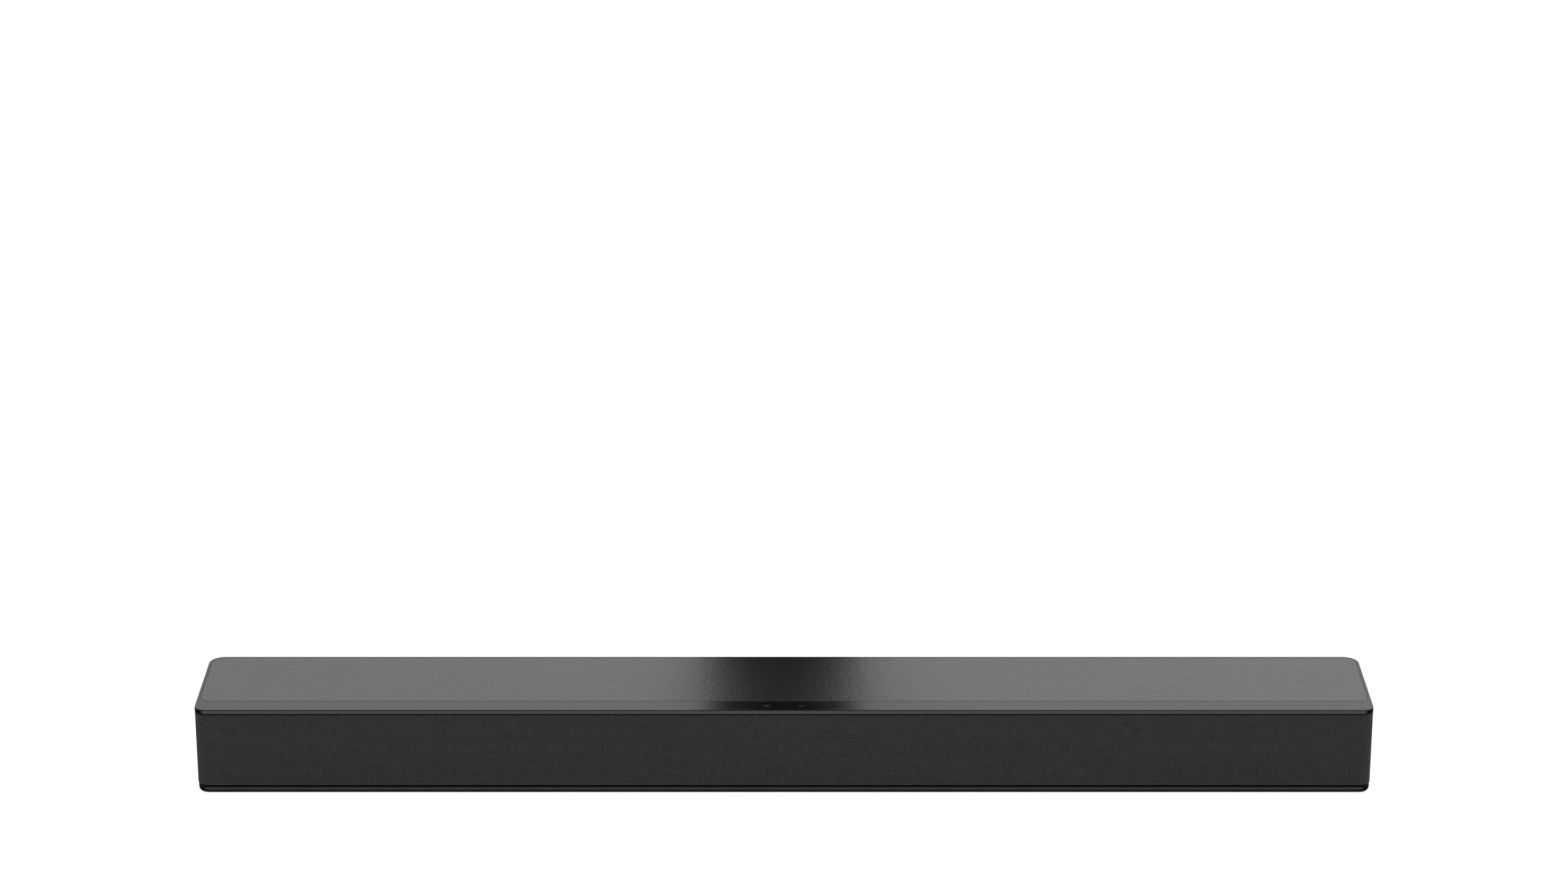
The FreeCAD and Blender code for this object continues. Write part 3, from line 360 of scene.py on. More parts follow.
def speaker_cloth():
    """Plain-woven speaker cloth. Its UV map counts millimetres along and up the cloth. Slubs are threads that thicken and darken for a stretch."""
    m, t, p = principled("woven_speaker_cloth")
    uv = t.node("ShaderNodeUVMap", uv_map="weave")
    c = t.xyz(uv.outputs[0])
    u, v = c[0], c[1]
    pitch = 0.46
    # threads wander a little
    loose = t.noise(t.combine(u, v, 0.0), 0.35, 2.0, 0.6)
    loose2 = t.noise(t.combine(v, u, 7.0), 0.35, 2.0, 0.6)
    u1 = t.math("ADD", u, t.math("MULTIPLY", t.math("SUBTRACT", loose, 0.5), 0.55))
    v1 = t.math("ADD", v, t.math("MULTIPLY", t.math("SUBTRACT", loose2, 0.5), 0.55))
    au = t.math("MULTIPLY", u1, math.pi / pitch)
    av = t.math("MULTIPLY", v1, math.pi / pitch)
    su, sv = t.math("SINE", au), t.math("SINE", av)
    warp_round = t.math("ABSOLUTE", su)
    weft_round = t.math("ABSOLUTE", sv)
    over = t.math("MULTIPLY", t.math("COSINE", au), t.math("COSINE", av))
    up = t.math("ADD", 0.62, t.math("MULTIPLY", over, 0.38))
    down = t.math("SUBTRACT", 0.62, t.math("MULTIPLY", over, 0.38))
    height = t.math("MAXIMUM", t.math("MULTIPLY", warp_round, up), t.math("MULTIPLY", weft_round, down))
    # slubs along both thread directions
    weft = t.noise(t.combine(t.math("MULTIPLY", u, 0.065), t.math("MULTIPLY", v, 2.0), 0.0), 1.0, 2.0, 0.55)
    warp = t.noise(t.combine(t.math("MULTIPLY", u, 2.0), t.math("MULTIPLY", v, 0.10), 3.0), 1.0, 2.0, 0.55)
    long_weft = t.noise(t.combine(t.math("MULTIPLY", u, 0.004), t.math("MULTIPLY", v, 1.15), 9.0), 1.0, 1.0, 0.5)
    heather = t.noise(t.combine(u, v, 2.0), 0.9, 2.0, 0.6)
    cross = t.noise(t.combine(u, v, 5.0), 1.7, 3.0, 0.7)
    tone = t.math("ADD", t.math("MULTIPLY", t.math("SUBTRACT", weft, 0.5), 0.90), t.math("MULTIPLY", t.math("SUBTRACT", warp, 0.5), 0.98))
    tone = t.math("ADD", tone, t.math("MULTIPLY", t.math("SUBTRACT", long_weft, 0.5), 0.50))
    tone = t.math("ADD", tone, t.math("MULTIPLY", t.math("SUBTRACT", heather, 0.5), 0.12))
    tone = t.math("ADD", tone, t.math("MULTIPLY", t.math("SUBTRACT", cross, 0.5), 2.15))
    # The colour is darker where the weave lies low between the threads: painted shade in the gaps. The slub tone is the
    # yarn's own.
    light = t.math("MULTIPLY", t.math("ADD", 0.55, t.math("MULTIPLY", height, 0.62)), t.math("ADD", 1.0, tone))
    base = t.remap(light, 0.0, 2.0, 0.0, 1.0)
    t.put(t.mix_colour(base, (0.0, 0.0, 0.0), (0.0325, 0.0325, 0.0333)), p.inputs["Base Color"])
    t.put(t.remap(height, 0.2, 1.0, 0.92, 0.74), p.inputs["Roughness"])
    t.put(0.20, p.inputs["Specular IOR Level"])
    t.put(0.05, p.inputs["Sheen Weight"])
    t.put(0.5, p.inputs["Sheen Roughness"])
    t.put(t.bump(t.math("ADD", height, t.math("MULTIPLY", tone, 0.35)), 0.00013), p.inputs["Normal"])
    return m


def metal(name, rgb, rough, streak=(1.0, 1.0, 1.0), scale=900.0, depth=0.000004, spread=0.12):
    m, t, p = principled(name)
    at = t.node("ShaderNodeTexCoord").outputs["Object"]
    n = t.noise(t.mapping(at, streak), scale, 3.0, 0.6)
    w = t.noise(at, 60.0, 3.0, 0.6)
    t.put(t.mix_colour(w, tuple(c * 0.9 for c in rgb), tuple(min(1.0, c * 1.08) for c in rgb)), p.inputs["Base Color"])
    t.put(1.0, p.inputs["Metallic"])
    t.put(t.remap(n, 0.25, 0.75, rough - spread / 2, rough + spread / 2), p.inputs["Roughness"])
    t.put(t.bump(n, depth), p.inputs["Normal"])
    return m


def rubber(name, rgb, rough=0.75, grain=1500.0, depth=0.00003):
    m, t, p = principled(name)
    at = t.node("ShaderNodeTexCoord").outputs["Object"]
    n = t.noise(at, grain, 3.0, 0.65)
    w = t.noise(at, 40.0, 3.0, 0.6)
    t.put(t.mix_colour(w, tuple(c * 0.85 for c in rgb), tuple(c * 1.2 for c in rgb)), p.inputs["Base Color"])
    t.put(t.remap(n, 0.3, 0.7, rough - 0.08, rough + 0.08), p.inputs["Roughness"])
    t.put(0.35, p.inputs["Specular IOR Level"])
    t.put(t.bump(n, depth), p.inputs["Normal"])
    return m


def board():
    """Green solder mask with faint tracks under it."""
    m, t, p = principled("solder_mask")
    at = t.node("ShaderNodeTexCoord").outputs["Object"]
    brick = t.voronoi(t.mapping(at, (1.0, 1.0, 1.0)), 260.0, "F1", out="Distance")
    b = t.node("ShaderNodeTexVoronoi", feature="F1", distance="MANHATTAN")
    t.put(at, b.inputs["Vector"])
    t.put(330.0, b.inputs["Scale"])
    track = t.remap(b.outputs["Distance"], 0.42, 0.46, 0.0, 1.0)
    t.put(t.mix_colour(track, (0.010, 0.075, 0.032), (0.018, 0.125, 0.055)), p.inputs["Base Color"])
    t.put(t.remap(brick, 0.0, 0.8, 0.32, 0.42), p.inputs["Roughness"])
    t.put(t.bump(track, 0.00003), p.inputs["Normal"])
    return m


def fibre(name, rgb, scale=1400.0, rough=0.85, depth=0.00006):
    """Felted paper or impregnated cloth."""
    m, t, p = principled(name)
    at = t.node("ShaderNodeTexCoord").outputs["Object"]
    a = t.noise(t.mapping(at, (1.0, 1.0, 3.0)), scale, 4.0, 0.7)
    b = t.noise(t.mapping(at, (3.0, 1.0, 1.0)), scale * 0.7, 4.0, 0.7)
    h = t.math("ADD", a, b)
    t.put(t.mix_colour(t.remap(h, 0.7, 1.3, 0.0, 1.0), tuple(c * 0.8 for c in rgb), tuple(c * 1.25 for c in rgb)), p.inputs["Base Color"])
    t.put(t.remap(h, 0.7, 1.3, rough - 0.08, rough + 0.08), p.inputs["Roughness"])
    t.put(t.bump(h, depth), p.inputs["Normal"])
    return m


def winding(name, rgb):
    """Enamelled wire wound round the Y axis."""
    m, t, p = principled(name)
    at = t.xyz(t.node("ShaderNodeTexCoord").outputs["Object"])
    s = t.math("SINE", t.math("MULTIPLY", at[1], 2 * math.pi / 0.00028))
    w = t.noise(t.node("ShaderNodeTexCoord").outputs["Object"], 500.0, 2.0)
    t.put(t.mix_colour(w, tuple(c * 0.8 for c in rgb), tuple(min(1, c * 1.15) for c in rgb)), p.inputs["Base Color"])
    t.put(0.9, p.inputs["Metallic"])
    t.put(t.remap(w, 0.3, 0.7, 0.28, 0.4), p.inputs["Roughness"])
    t.put(t.bump(s, 0.00008), p.inputs["Normal"])
    return m


MAT = {
    "lid": satin_lid(),
    "inlay": leather_grain(),
    "cloth": speaker_cloth(),
    "base": moulded("textured_base_plastic", (0.0035, 0.0035, 0.0036), 0.27, 0.00035, 0.000003, 0.04, 0.06, 0.245),
    "case": moulded("textured_case_plastic", (0.0135, 0.0135, 0.0138), 0.48, 0.00050, 0.000022, 0.08, 0.08, 0.45),
    "inner": moulded("inner_plastic", (0.012, 0.012, 0.0125), 0.55, 0.0006, 0.00002),
    # The two sign materials are lit and shaded copies of one grey print. The lighter one is painted light for the signs
    # in the dark reflection; the darker one is painted shade for the signs in the bright reflection.
    "sign": moulded("lit_copy_of_sign_print", (0.024, 0.024, 0.0245), 0.75, 0.0002, 0.000004, 0.05, 0.05, 0.12),
    "sign_print_shaded_copy": moulded("shaded_copy_of_sign_print", (0.0012, 0.0012, 0.00125), 0.80, 0.0002, 0.000004, 0.05, 0.05, 0.08),
    "socket": moulded("socket_plastic", (0.010, 0.010, 0.010), 0.38, 0.0003, 0.000006),
    "ivory": moulded("ivory_plastic", (0.62, 0.58, 0.48), 0.4, 0.0004, 0.000008),
    "resin": moulded("moulded_resin", (0.014, 0.014, 0.015), 0.5, 0.00025, 0.000015),
    "sleeve": moulded("capacitor_sleeve", (0.012, 0.020, 0.060), 0.33, 0.0008, 0.000006),
    "lens": moulded("smoked_lens", (0.030, 0.012, 0.012), 0.12, 0.002, 0.000002, 0.03),
    "film": moulded("flat_cable_film", (0.66, 0.66, 0.63), 0.42, 0.0008, 0.00001),
    "ferrite": moulded("ferrite_and_tape", (0.035, 0.030, 0.026), 0.7, 0.0005, 0.00003),
    "foot": rubber("foot_rubber", (0.014, 0.014, 0.0145), 0.78),
    "surround": rubber("butyl_rubber", (0.010, 0.010, 0.0102), 0.6, 2400.0, 0.00001),
    "foam": rubber("gasket_foam", (0.020, 0.020, 0.021), 0.92, 1900.0, 0.00012),
    "insulation": rubber("lead_insulation", (0.016, 0.016, 0.017), 0.5, 2400.0, 0.00001),
    "black_steel": metal("black_zinc_steel", (0.055, 0.055, 0.060), 0.38, (1, 1, 1), 1800.0),
    "nickel": metal("nickel_plate", (0.60, 0.58, 0.55), 0.26, (1, 1, 14), 420.0),
    "gold": metal("gold_plate", (0.83, 0.60, 0.27), 0.24, (1, 1, 1), 1500.0),
    "brass": metal("turned_brass", (0.66, 0.48, 0.20), 0.30, (1, 12, 1), 700.0),
    "aluminium": metal("extruded_aluminium", (0.66, 0.66, 0.67), 0.42, (0.05, 14, 14), 300.0),
    "zinc": metal("zinc_plate", (0.50, 0.50, 0.51), 0.42, (1, 1, 1), 260.0),
    "basket": moulded("painted_steel_basket", (0.016, 0.016, 0.0165), 0.42, 0.0012, 0.00003),
    "paper": fibre("coated_paper_cone", (0.016, 0.0155, 0.015)),
    "spider": fibre("impregnated_cloth", (0.42, 0.29, 0.12), 2600.0),
    "copper": winding("enamelled_copper", (0.55, 0.24, 0.12)),
    "board": board(),
}

CAD_MATERIAL = {
    "inner": ["grille_frame", "front_baffle", "left_chamber_wall", "right_chamber_wall"],
    "ivory": ["switch_plunger_power", "switch_plunger_source", "switch_plunger_volume_down", "switch_plunger_volume_up"],
    "resin": ["tact_switches", "board_components", "output_inductors"],
    "board": ["main_board", "power_board", "key_board", "display_board", "radio_module"],
    "aluminium": ["heat_sink"],
    "sleeve": ["filter_capacitors"],
    "ferrite": ["power_transformer"],
    "lens": ["display_lights_and_receiver"],
    "black_steel": ["cover_screws", "driver_screws", "board_screws"],
    "basket": ["left_driver_frame", "right_driver_frame"],
    "zinc": ["left_magnet_motor", "right_magnet_motor"],
    "paper": ["left_cone", "right_cone", "left_dust_cap", "right_dust_cap"],
    "copper": ["left_voice_coil", "right_voice_coil"],
    "surround": ["left_surround", "right_surround"],
    "spider": ["left_spider", "right_spider"],
    "foam": ["driver_gaskets"],
    "insulation": ["left_speaker_lead", "right_speaker_lead"],
    "film": ["key_ribbon"],
    "socket": ["optical_socket", "optical_shutter", "aux_jack", "ac_inlet"],
    "nickel": ["hdmi_socket", "usb_socket", "ac_inlet_pins"],
    "lid": ["key_power", "key_source", "key_volume_down", "key_volume_up", "top_cover"],
    "inlay": ["top_inlay"],
    "cloth": ["grille_cloth"],
    "case": ["back_case"],
    "base": ["bottom_case"],
    "foot": ["rubber_feet"],
    "brass": ["wall_mount_inserts"],
}
CAD_MATERIAL["black_steel"].append("case_screws")
for key, names in CAD_MATERIAL.items():
    for n in names:
        o = NODES[n]
        if not o.data.materials:
            o.data.materials.append(MAT[key])
        for i in range(len(o.data.materials)):
            o.data.materials[i] = MAT[key]


# ================================================================== mesh tools
def rr(hw, y0, y1, rf, rb, n=16):
    """A rounded rectangle, anticlockwise from the front right corner."""
    out = []
    for cx, cy, r, a0 in ((hw - rf, y0 + rf, rf, -90), (hw - rb, y1 - rb, rb, 0), (-hw + rb, y1 - rb, rb, 90), (-hw + rf, y0 + rf, rf, 180)):
        for k in range(n + 1):
            a = math.radians(a0 + 90.0 * k / n)
            out.append((cx + r * math.cos(a), cy + r * math.sin(a)))
    return out


def plan(i, n=16):
    return rr(HW - i, FRONT_Y + i, BACK_Y - i, max(R_FRONT - i, 0.05), max(R_BACK - i, 0.05), n)


def at_z(points, z):
    return [(x, y, z) for x, y in points]


def loft(bm, loops, cap0=True, cap1=True, closed=True):
    """Joins loops of the same number of points. The first and last are capped."""
    rows = [[bm.verts.new((x * MM, y * MM, z * MM)) for x, y, z in loop] for loop in loops]
    n = len(rows[0])
    for a, b in zip(rows, rows[1:]):
        for i in range(n if closed else n - 1):
            j = (i + 1) % n
            bm.faces.new((a[i], a[j], b[j], b[i]))
    if cap0:
        bm.faces.new(list(reversed(rows[0])))
    if cap1:
        bm.faces.new(rows[-1])
    return rows


def to_object(bm, name, merge=0.0):
    if merge:
        bmesh.ops.remove_doubles(bm, verts=bm.verts, dist=merge)
    bmesh.ops.recalc_face_normals(bm, faces=bm.faces)
    mesh = bpy.data.meshes.new(name)
    bm.to_mesh(mesh)
    bm.free()
    o = bpy.data.objects.new(name, mesh)
    scene.collection.objects.link(o)
    return o


def boolean(o, cutter_bm, op):
    """o with the cutter's solids added or taken away."""
    c = to_object(cutter_bm, "cutter")
    mod = o.modifiers.new("bool", "BOOLEAN")
    mod.operation = op
    mod.solver = "EXACT"
    mod.object = c
    deps = bpy.context.evaluated_depsgraph_get()
    mesh = bpy.data.meshes.new_from_object(o.evaluated_get(deps))
    o.modifiers.clear()
    old = o.data
    o.data = mesh
    bpy.data.meshes.remove(old)
    bpy.data.objects.remove(c)
    return o


def add_box(bm, x0, y0, z0, x1, y1, z1):
    loft(bm, [[(x0, y0, z), (x1, y0, z), (x1, y1, z), (x0, y1, z)] for z in (z0, z1)])


def circle(cx, cy, r, n=32, turn=0.0):
    return [(cx + r * math.cos(turn + 2 * math.pi * k / n), cy + r * math.sin(turn + 2 * math.pi * k / n)) for k in range(n)]


def add_cyl(bm, x, y, z0, z1, r, n=32):
    loft(bm, [at_z(circle(x, y, r, n), z) for z in (z0, z1)])


def ring_points(c, r, axis, n=48, half=None):
    """Points round an axis: axis is 'y' or 'z'."""
    out = []
    for k in range(n):
        a = 2 * math.pi * k / n
        if axis == "z":
            out.append((c[0] + r * math.cos(a), c[1] + r * math.sin(a), c[2]))
        else:
            out.append((c[0] + r * math.cos(a), c[1], c[2] + r * math.sin(a)))
    return out


def lathe(bm, profile, origin, axis, n=48, closed=False):
    """Turns (radius, along) pairs round an axis through origin. A closed profile makes a ring."""
    rows = []
    for r, h in profile:
        c = (origin[0], origin[1] + (h if axis == "y" else 0), origin[2] + (h if axis == "z" else 0))
        rows.append([bm.verts.new(tuple(v * MM for v in p)) for p in ring_points(c, max(r, 0.0005), axis, n)])
    pairs = list(zip(rows, rows[1:]))
    if closed:
        pairs.append((rows[-1], rows[0]))
    for a, b in pairs:
        for i in range(n):
            j = (i + 1) % n
            bm.faces.new((a[i], a[j], b[j], b[i]))
    if not closed:
        bm.faces.new(list(reversed(rows[0])))
        bm.faces.new(rows[-1])


def arc2(cx, cz, r, a0, a1, n):
    """Points of an arc in a profile, angles in degrees."""
    return [(cx + r * math.cos(math.radians(a0 + (a1 - a0) * k / n)), cz + r * math.sin(math.radians(a0 + (a1 - a0) * k / n))) for k in range(n + 1)]


def dress(o, material, nodes, body="root", angle=38.0, extra=()):
    """Smooth shading with sharp edges kept, a material, and the piece's place in the frame."""
    mesh = o.data
    mesh.materials.clear()
    mesh.materials.append(MAT[material])
    for e in extra:
        mesh.materials.append(MAT[e])
    for p in mesh.polygons:
        p.use_smooth = True
    mesh.set_sharp_from_angle(angle=math.radians(angle))
    w = o.modifiers.new("weighted_normals", "WEIGHTED_NORMAL")
    w.keep_sharp = True
    w.weight = 60
    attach(o, body)
    if nodes:
        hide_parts(*nodes)
    return o


# ===================================================================== top lid
def lid():
    bm = bmesh.new()
    loops = [at_z(plan(3.9), 59.25), at_z(plan(3.9), 57.6), at_z(plan(2.9), 57.6), at_z(plan(2.9), 59.25)]
    # underside edge, outer face, and the rounded upper edge
    for d, z in arc2(0.2, 59.45, 0.2, 270, 180, 4):
        loops.append(at_z(plan(d), z))
    for d, z in arc2(0.65, 61.35, 0.65, 180, 90, 12):
        loops.append(at_z(plan(d), z))
    x, y0, y1 = HW - 2.14, FRONT_Y + 15.40, BACK_Y - 2.3
    for grow, z in ((0.12, 62.0), (0.03, 61.96), (0.0, 61.88), (0.0, 61.0)):
        loops.append(at_z(rr(x + grow, y0 - grow, y1 + grow, 7.2 + grow, 8.3 + grow), z))
    loft(bm, loops)
    o = to_object(bm, "lid_shell")
    add = bmesh.new()
    for sx in SCREW_X:
        for sy in (SCREW_YF, SCREW_YB):
            add_cyl(add, sx, sy, 52.0, 60.0, 3.25)
    for px in (-48.0, 0.0, 48.0):
        add_cyl(add, px, -37.5, 52.6, 60.0, 2.5)
    for ry in (-12.0, 8.0, 26.0):
        add_box(add, -390, ry, 58.0, 390, ry + 1.2, 60.0)
    boolean(o, add, "UNION")
    cut = bmesh.new()
    for kx in KEY_X.values():
        loops = []
        for g, z in ((0.0, 50.0), (0.0, 64.0)):
            w, d, r = 5.6 + g, 3.5 + g, 0.35
            pts = []
            for cx, cy, a0 in ((w - r, -d + r, -90), (w - r, d - r, 0), (-w + r, d - r, 90), (-w + r, -d + r, 180)):
                for k in range(5):
                    a = math.radians(a0 + 22.5 * k)
                    pts.append((kx + cx + r * math.cos(a), KEY_Y + cy + r * math.sin(a)))
            loops.append(at_z(pts, z))
        loft(cut, loops)
    for sx in SCREW_X:
        for sy in (SCREW_YF, SCREW_YB):
            add_cyl(cut, sx, sy, 51.0, 58.5, 1.52)
    for px in (-48.0, 0.0, 48.0):
        add_cyl(cut, px, -37.5, 51.0, 56.8, 1.27)
    boolean(o, cut, "DIFFERENCE")
    return dress(o, "lid", ["top_cover"])


def inlay():
    bm = bmesh.new()
    x, y0, y1 = HW - 2.26, FRONT_Y + 15.72, BACK_Y - 2.5
    loops = [at_z(rr(x, y0, y1, 7.0, 8.1), 61.0)]
    for d, z in arc2(0.22, 61.78, 0.22, 180, 90, 5):
        loops.append(at_z(rr(x - d, y0 + d, y1 - d, 7.0 - d, 8.1 - d), z))
    loft(bm, loops)
    return dress(to_object(bm, "inlay_panel"), "inlay", ["top_inlay"])


# ================================================================ cloth grille
END_Y = 26.0


def wrap_path(inset, end, n=14):
    """From the right end round the front to the left end, at this inset, as (x, y, distance)."""
    hw, y0, r = HW - inset, FRONT_Y + inset, R_FRONT - inset
    pts = [(hw, end)]
    for k in range(1, 6):
        pts.append((hw, end + (y0 + r - end) * k / 6))
    for k in range(n + 1):
        a = math.radians(-90.0 * k / n)
        pts.append((hw - r + r * math.cos(a), y0 + r + r * math.sin(a)))
    for k in range(1, 40):
        pts.append((hw - r - (2 * hw - 2 * r) * k / 40, y0))
    for k in range(n + 1):
        a = math.radians(-90 - 90.0 * k / n)
        pts.append((-hw + r + r * math.cos(a), y0 + r + r * math.sin(a)))
    for k in range(1, 6):
        pts.append((-hw, y0 + r + (end - y0 - r) * k / 6))
    pts.append((-hw, end))
    return pts


def cloth():
    """The cloth and its turned-in edges, 0.6 mm thick, closed at the frame's two ends."""
    z0, z1, t = 6.3, 58.15, 0.6
    r = 0.3
    outer = [(2.7, z0)]
    outer += [(i, z) for i, z in arc2(0.1 + r, z0 + r, r, 270, 180, 7)]
    outer += [(0.1, z0 + (z1 - z0) * k / 8) for k in range(1, 8)]
    outer += [(i, z) for i, z in arc2(0.1 + r, z1 - r, r, 180, 90, 7)]
    outer += [(2.7, z1)]
    inner = [(2.7, z1 - t), (0.72, z1 - t), (0.72, z0 + t), (2.7, z0 + t)]
    bm = bmesh.new()
    # distance along the cloth, measured on its face
    face = wrap_path(0.1, END_Y - t)
    run, s = [0.0], 0.0
    for a, b in zip(face, face[1:]):
        s += math.dist(a, b)
        run.append(s)
    paths = {}

    def column(i, end):
        key = (round(i, 4), end)
        if key not in paths:
            paths[key] = wrap_path(i, end)
        return paths[key]

    def vert(p, z):
        return bm.verts.new((p[0] * MM, p[1] * MM, z * MM))

    profile = outer + inner
    rows = []
    for i, z in profile:
        rows.append([vert(p, z) for p in column(i, END_Y - t)])
    n = len(rows[0])
    m = len(profile)
    for a in range(m):
        b = (a + 1) % m
        for k in range(n - 1):
            bm.faces.new((rows[a][k], rows[a][k + 1], rows[b][k + 1], rows[b][k]))
    no = len(outer)
    for end in (0, -1):
        # the hollow's end
        bm.faces.new([rows[no + k][end] for k in range(len(inner))])
        # the outside goes on round the end of the frame
        ring = [rows[k][end] for k in range(no)] + [rows[no][end], rows[m - 1][end]]
        shape = list(outer) + [inner[0], inner[-1]]
        sgn = 1 if end == 0 else -1
        prev = ring
        for step in range(1, 5):
            f = step / 4
            back = math.sin(f * math.pi / 2) * t
            inw = (1 - math.cos(f * math.pi / 2)) * 0.5
            nxt = []
            for (i, z) in shape:
                ii = min(i + inw, 2.7) if i < 2.0 else i
                x = sgn * (HW - ii)
                zz = z
                if i >= 0.1 and z < z0 + 0.05:
                    zz = z + inw * 0.4
                if z > z1 - 0.05:
                    zz = z - inw * 0.4
                nxt.append(bm.verts.new((x * MM, (END_Y - t + back) * MM, zz * MM)))
            for k in range(len(ring)):
                j = (k + 1) % len(ring)
                bm.faces.new((prev[k], prev[j], nxt[j], nxt[k]))
            prev = nxt
        bm.faces.new(prev)
    bm.verts.index_update()
    bmesh.ops.recalc_face_normals(bm, faces=bm.faces)
    # the weave follows the cloth: millimetres along it, and up it round its turned edges
    layer = bm.loops.layers.uv.new("weave")
    corner = R_FRONT - 0.1
    y_c = FRONT_Y + R_FRONT
    straight = HW - R_FRONT
    side0 = END_Y - y_c

    def along(x, y):
        if y > y_c:
            d = (y_c + side0) - y
            return d if x > 0 else 2 * side0 + math.pi * corner + 2 * straight - d
        if x > straight:
            a = math.atan2(y_c - y, x - straight)
            return side0 + a * corner
        if x < -straight:
            a = math.atan2(y_c - y, -x - straight)
            return side0 + math.pi * corner / 2 + 2 * straight + (math.pi / 2 - a) * corner
        return side0 + math.pi * corner / 2 + (straight - x)

    for f in bm.faces:
        for loop in f.loops:
            x, y, z = (c / MM for c in loop.vert.co)
            # distance in from the face, for the turned edges
            if y > y_c:
                depth = HW - 0.1 - abs(x)
            elif abs(x) > straight:
                depth = R_FRONT - 0.1 - math.hypot(abs(x) - straight, y_c - y)
            else:
                depth = y - (FRONT_Y + 0.1)
            v = z + depth if z > 32 else z - depth
            loop[layer].uv = (along(x, y), v)
    o = to_object(bm, "grille_cloth_sheet")
    dress(o, "cloth", ["grille_cloth"])
    return o


# ================================================================== base band
def base():
    bm = bmesh.new()
    loops = [at_z(plan(3.9), 1.5), at_z(plan(3.6), 1.5), at_z(plan(3.6), 0.7), at_z(plan(3.4), 0.5)]
    for d, z in arc2(0.45 + 2.0, 2.5, 2.0, 270, 180, 18):
        loops.append(at_z(plan(d), 0.5 + (z - 0.5) * 1.3))
    for d, z in arc2(0.45 + 0.35, 4.65, 0.35, 180, 90, 5):
        loops.append(at_z(plan(d), z))
    loops += [at_z(plan(2.9), 5.0), at_z(plan(2.9), 8.2), at_z(plan(3.9), 8.2), at_z(plan(3.9), 4.0)]
    loft(bm, loops)
    o = to_object(bm, "base_tray")
    add = bmesh.new()
    for sx in SCREW_X:
        for sy in (SCREW_YF, SCREW_YB):
            add_cyl(add, sx, sy, 3.5, 6.0, 4.3)
    for px, py in ((-136.0, -16.0), (-136.0, 22.0), (28.0, -17.2), (28.0, 22.0), (44.0, -16.0), (72.0, 22.0), (138.0, -16.0), (138.0, 22.0)):
        add_cyl(add, px, py, 3.5, 12.0, 3.0)
    for ry in (-2.0, 12.0):
        for x0, x1 in ((-385, -165), (165, 385)):
            add_box(add, x0, ry, 3.5, x1, ry + 1.4, 7.0)
    boolean(o, add, "UNION")
    cut = bmesh.new()
    for sx in SCREW_X:
        for sy in (SCREW_YF, SCREW_YB):
            loft(cut, [at_z(circle(sx, sy, r, 40), z) for r, z in ((3.6, 1.0), (3.6, 1.45), (3.2, 1.9), (3.2, 4.0), (1.7, 4.0), (1.7, 7.0))])
    for px, py in ((-136.0, -16.0), (-136.0, 22.0), (28.0, -17.2), (28.0, 22.0), (44.0, -16.0), (72.0, 22.0), (138.0, -16.0), (138.0, 22.0)):
        add_cyl(cut, px, py, 5.5, 14.0, 1.27)
    for sx in (-330.0, 330.0):
        for sy in (-28.0, 28.0):
            pts = rr2(sx, sy, 20.15, 5.15, 1.3)
            loft(cut, [at_z(pts, 1.0), at_z(pts, 2.5)])
    boolean(o, cut, "DIFFERENCE")
    return dress(o, "base", ["bottom_case"])


def rr2(cx, cy, hx, hy, r, n=6):
    out = []
    for sx, sy, a0 in ((1, -1, -90), (1, 1, 0), (-1, 1, 90), (-1, -1, 180)):
        for k in range(n + 1):
            a = math.radians(a0 + 90.0 * k / n)
            out.append((cx + sx * (hx - r) + r * math.cos(a), cy + sy * (hy - r) + r * math.sin(a)))
    return out


def feet():
    bm = bmesh.new()
    for sx in (-330.0, 330.0):
        for sy in (-28.0, 28.0):
            loops = [at_z(rr2(sx, sy, 20, 5, 1.2), 2.5)]
            for d, z in arc2(0.4, 0.4, 0.4, 180, 270, 5):
                loops.append(at_z(rr2(sx, sy, 20 - d, 5 - d, max(1.2 - d, 0.3)), z))
            loft(bm, list(reversed(loops)))
    o = to_object(bm, "foot_pads")
    # three shallow grooves across each pad's tread
    cut = bmesh.new()
    for sx in (-330.0, 330.0):
        for sy in (-28.0, 28.0):
            for k in range(-4, 5):
                x = sx + k * 4.0
                loft(cut, [[(x - 0.45, yy, -0.5), (x + 0.45, yy, -0.5), (x + 0.2, yy, 0.35), (x - 0.2, yy, 0.35)] for yy in (sy - 3.8, sy + 3.8)])
    boolean(o, cut, "DIFFERENCE")
    return dress(o, "foot", ["rubber_feet"])


def screws():
    bm = bmesh.new()
    head = [(0.0, 1.9)] + [(r, z) for r, z in ((1.2, 1.9), (2.0, 2.0), (2.45, 2.25), (2.72, 2.6), (2.8, 3.0), (2.8, 4.0), (1.5, 4.0))]
    z = 4.0
    threads = []
    while z < 13.2:
        threads += [(1.5, z + 0.25), (1.28, z + 0.5)]
        z += 0.6
    tail = [(1.2, 13.7), (0.68, 14.5)]
    for sx in SCREW_X:
        for sy in (SCREW_YF, SCREW_YB):
            lathe(bm, [(r, h) for r, h in head + threads + tail], (sx, sy, 0.0), "z", 32)
    o = to_object(bm, "base_screws")
    cut = bmesh.new()
    for sx in SCREW_X:
        for sy in (SCREW_YF, SCREW_YB):
            w, l, w1, l1 = 0.36, 1.55, 0.24, 0.7
            cross = lambda w, l: [(sx + a, sy + b) for a, b in ((-w, -l), (w, -l), (w, -w), (l, -w), (l, w), (w, w), (w, l), (-w, l), (-w, w), (-l, w), (-l, -w), (-w, -w))]
            loft(cut, [at_z(cross(w, l), 1.5), at_z(cross(w, l), 1.9), at_z(cross(w1, l1), 3.2)])
    boolean(o, cut, "DIFFERENCE")
    return dress(o, "black_steel", ["case_screws"])


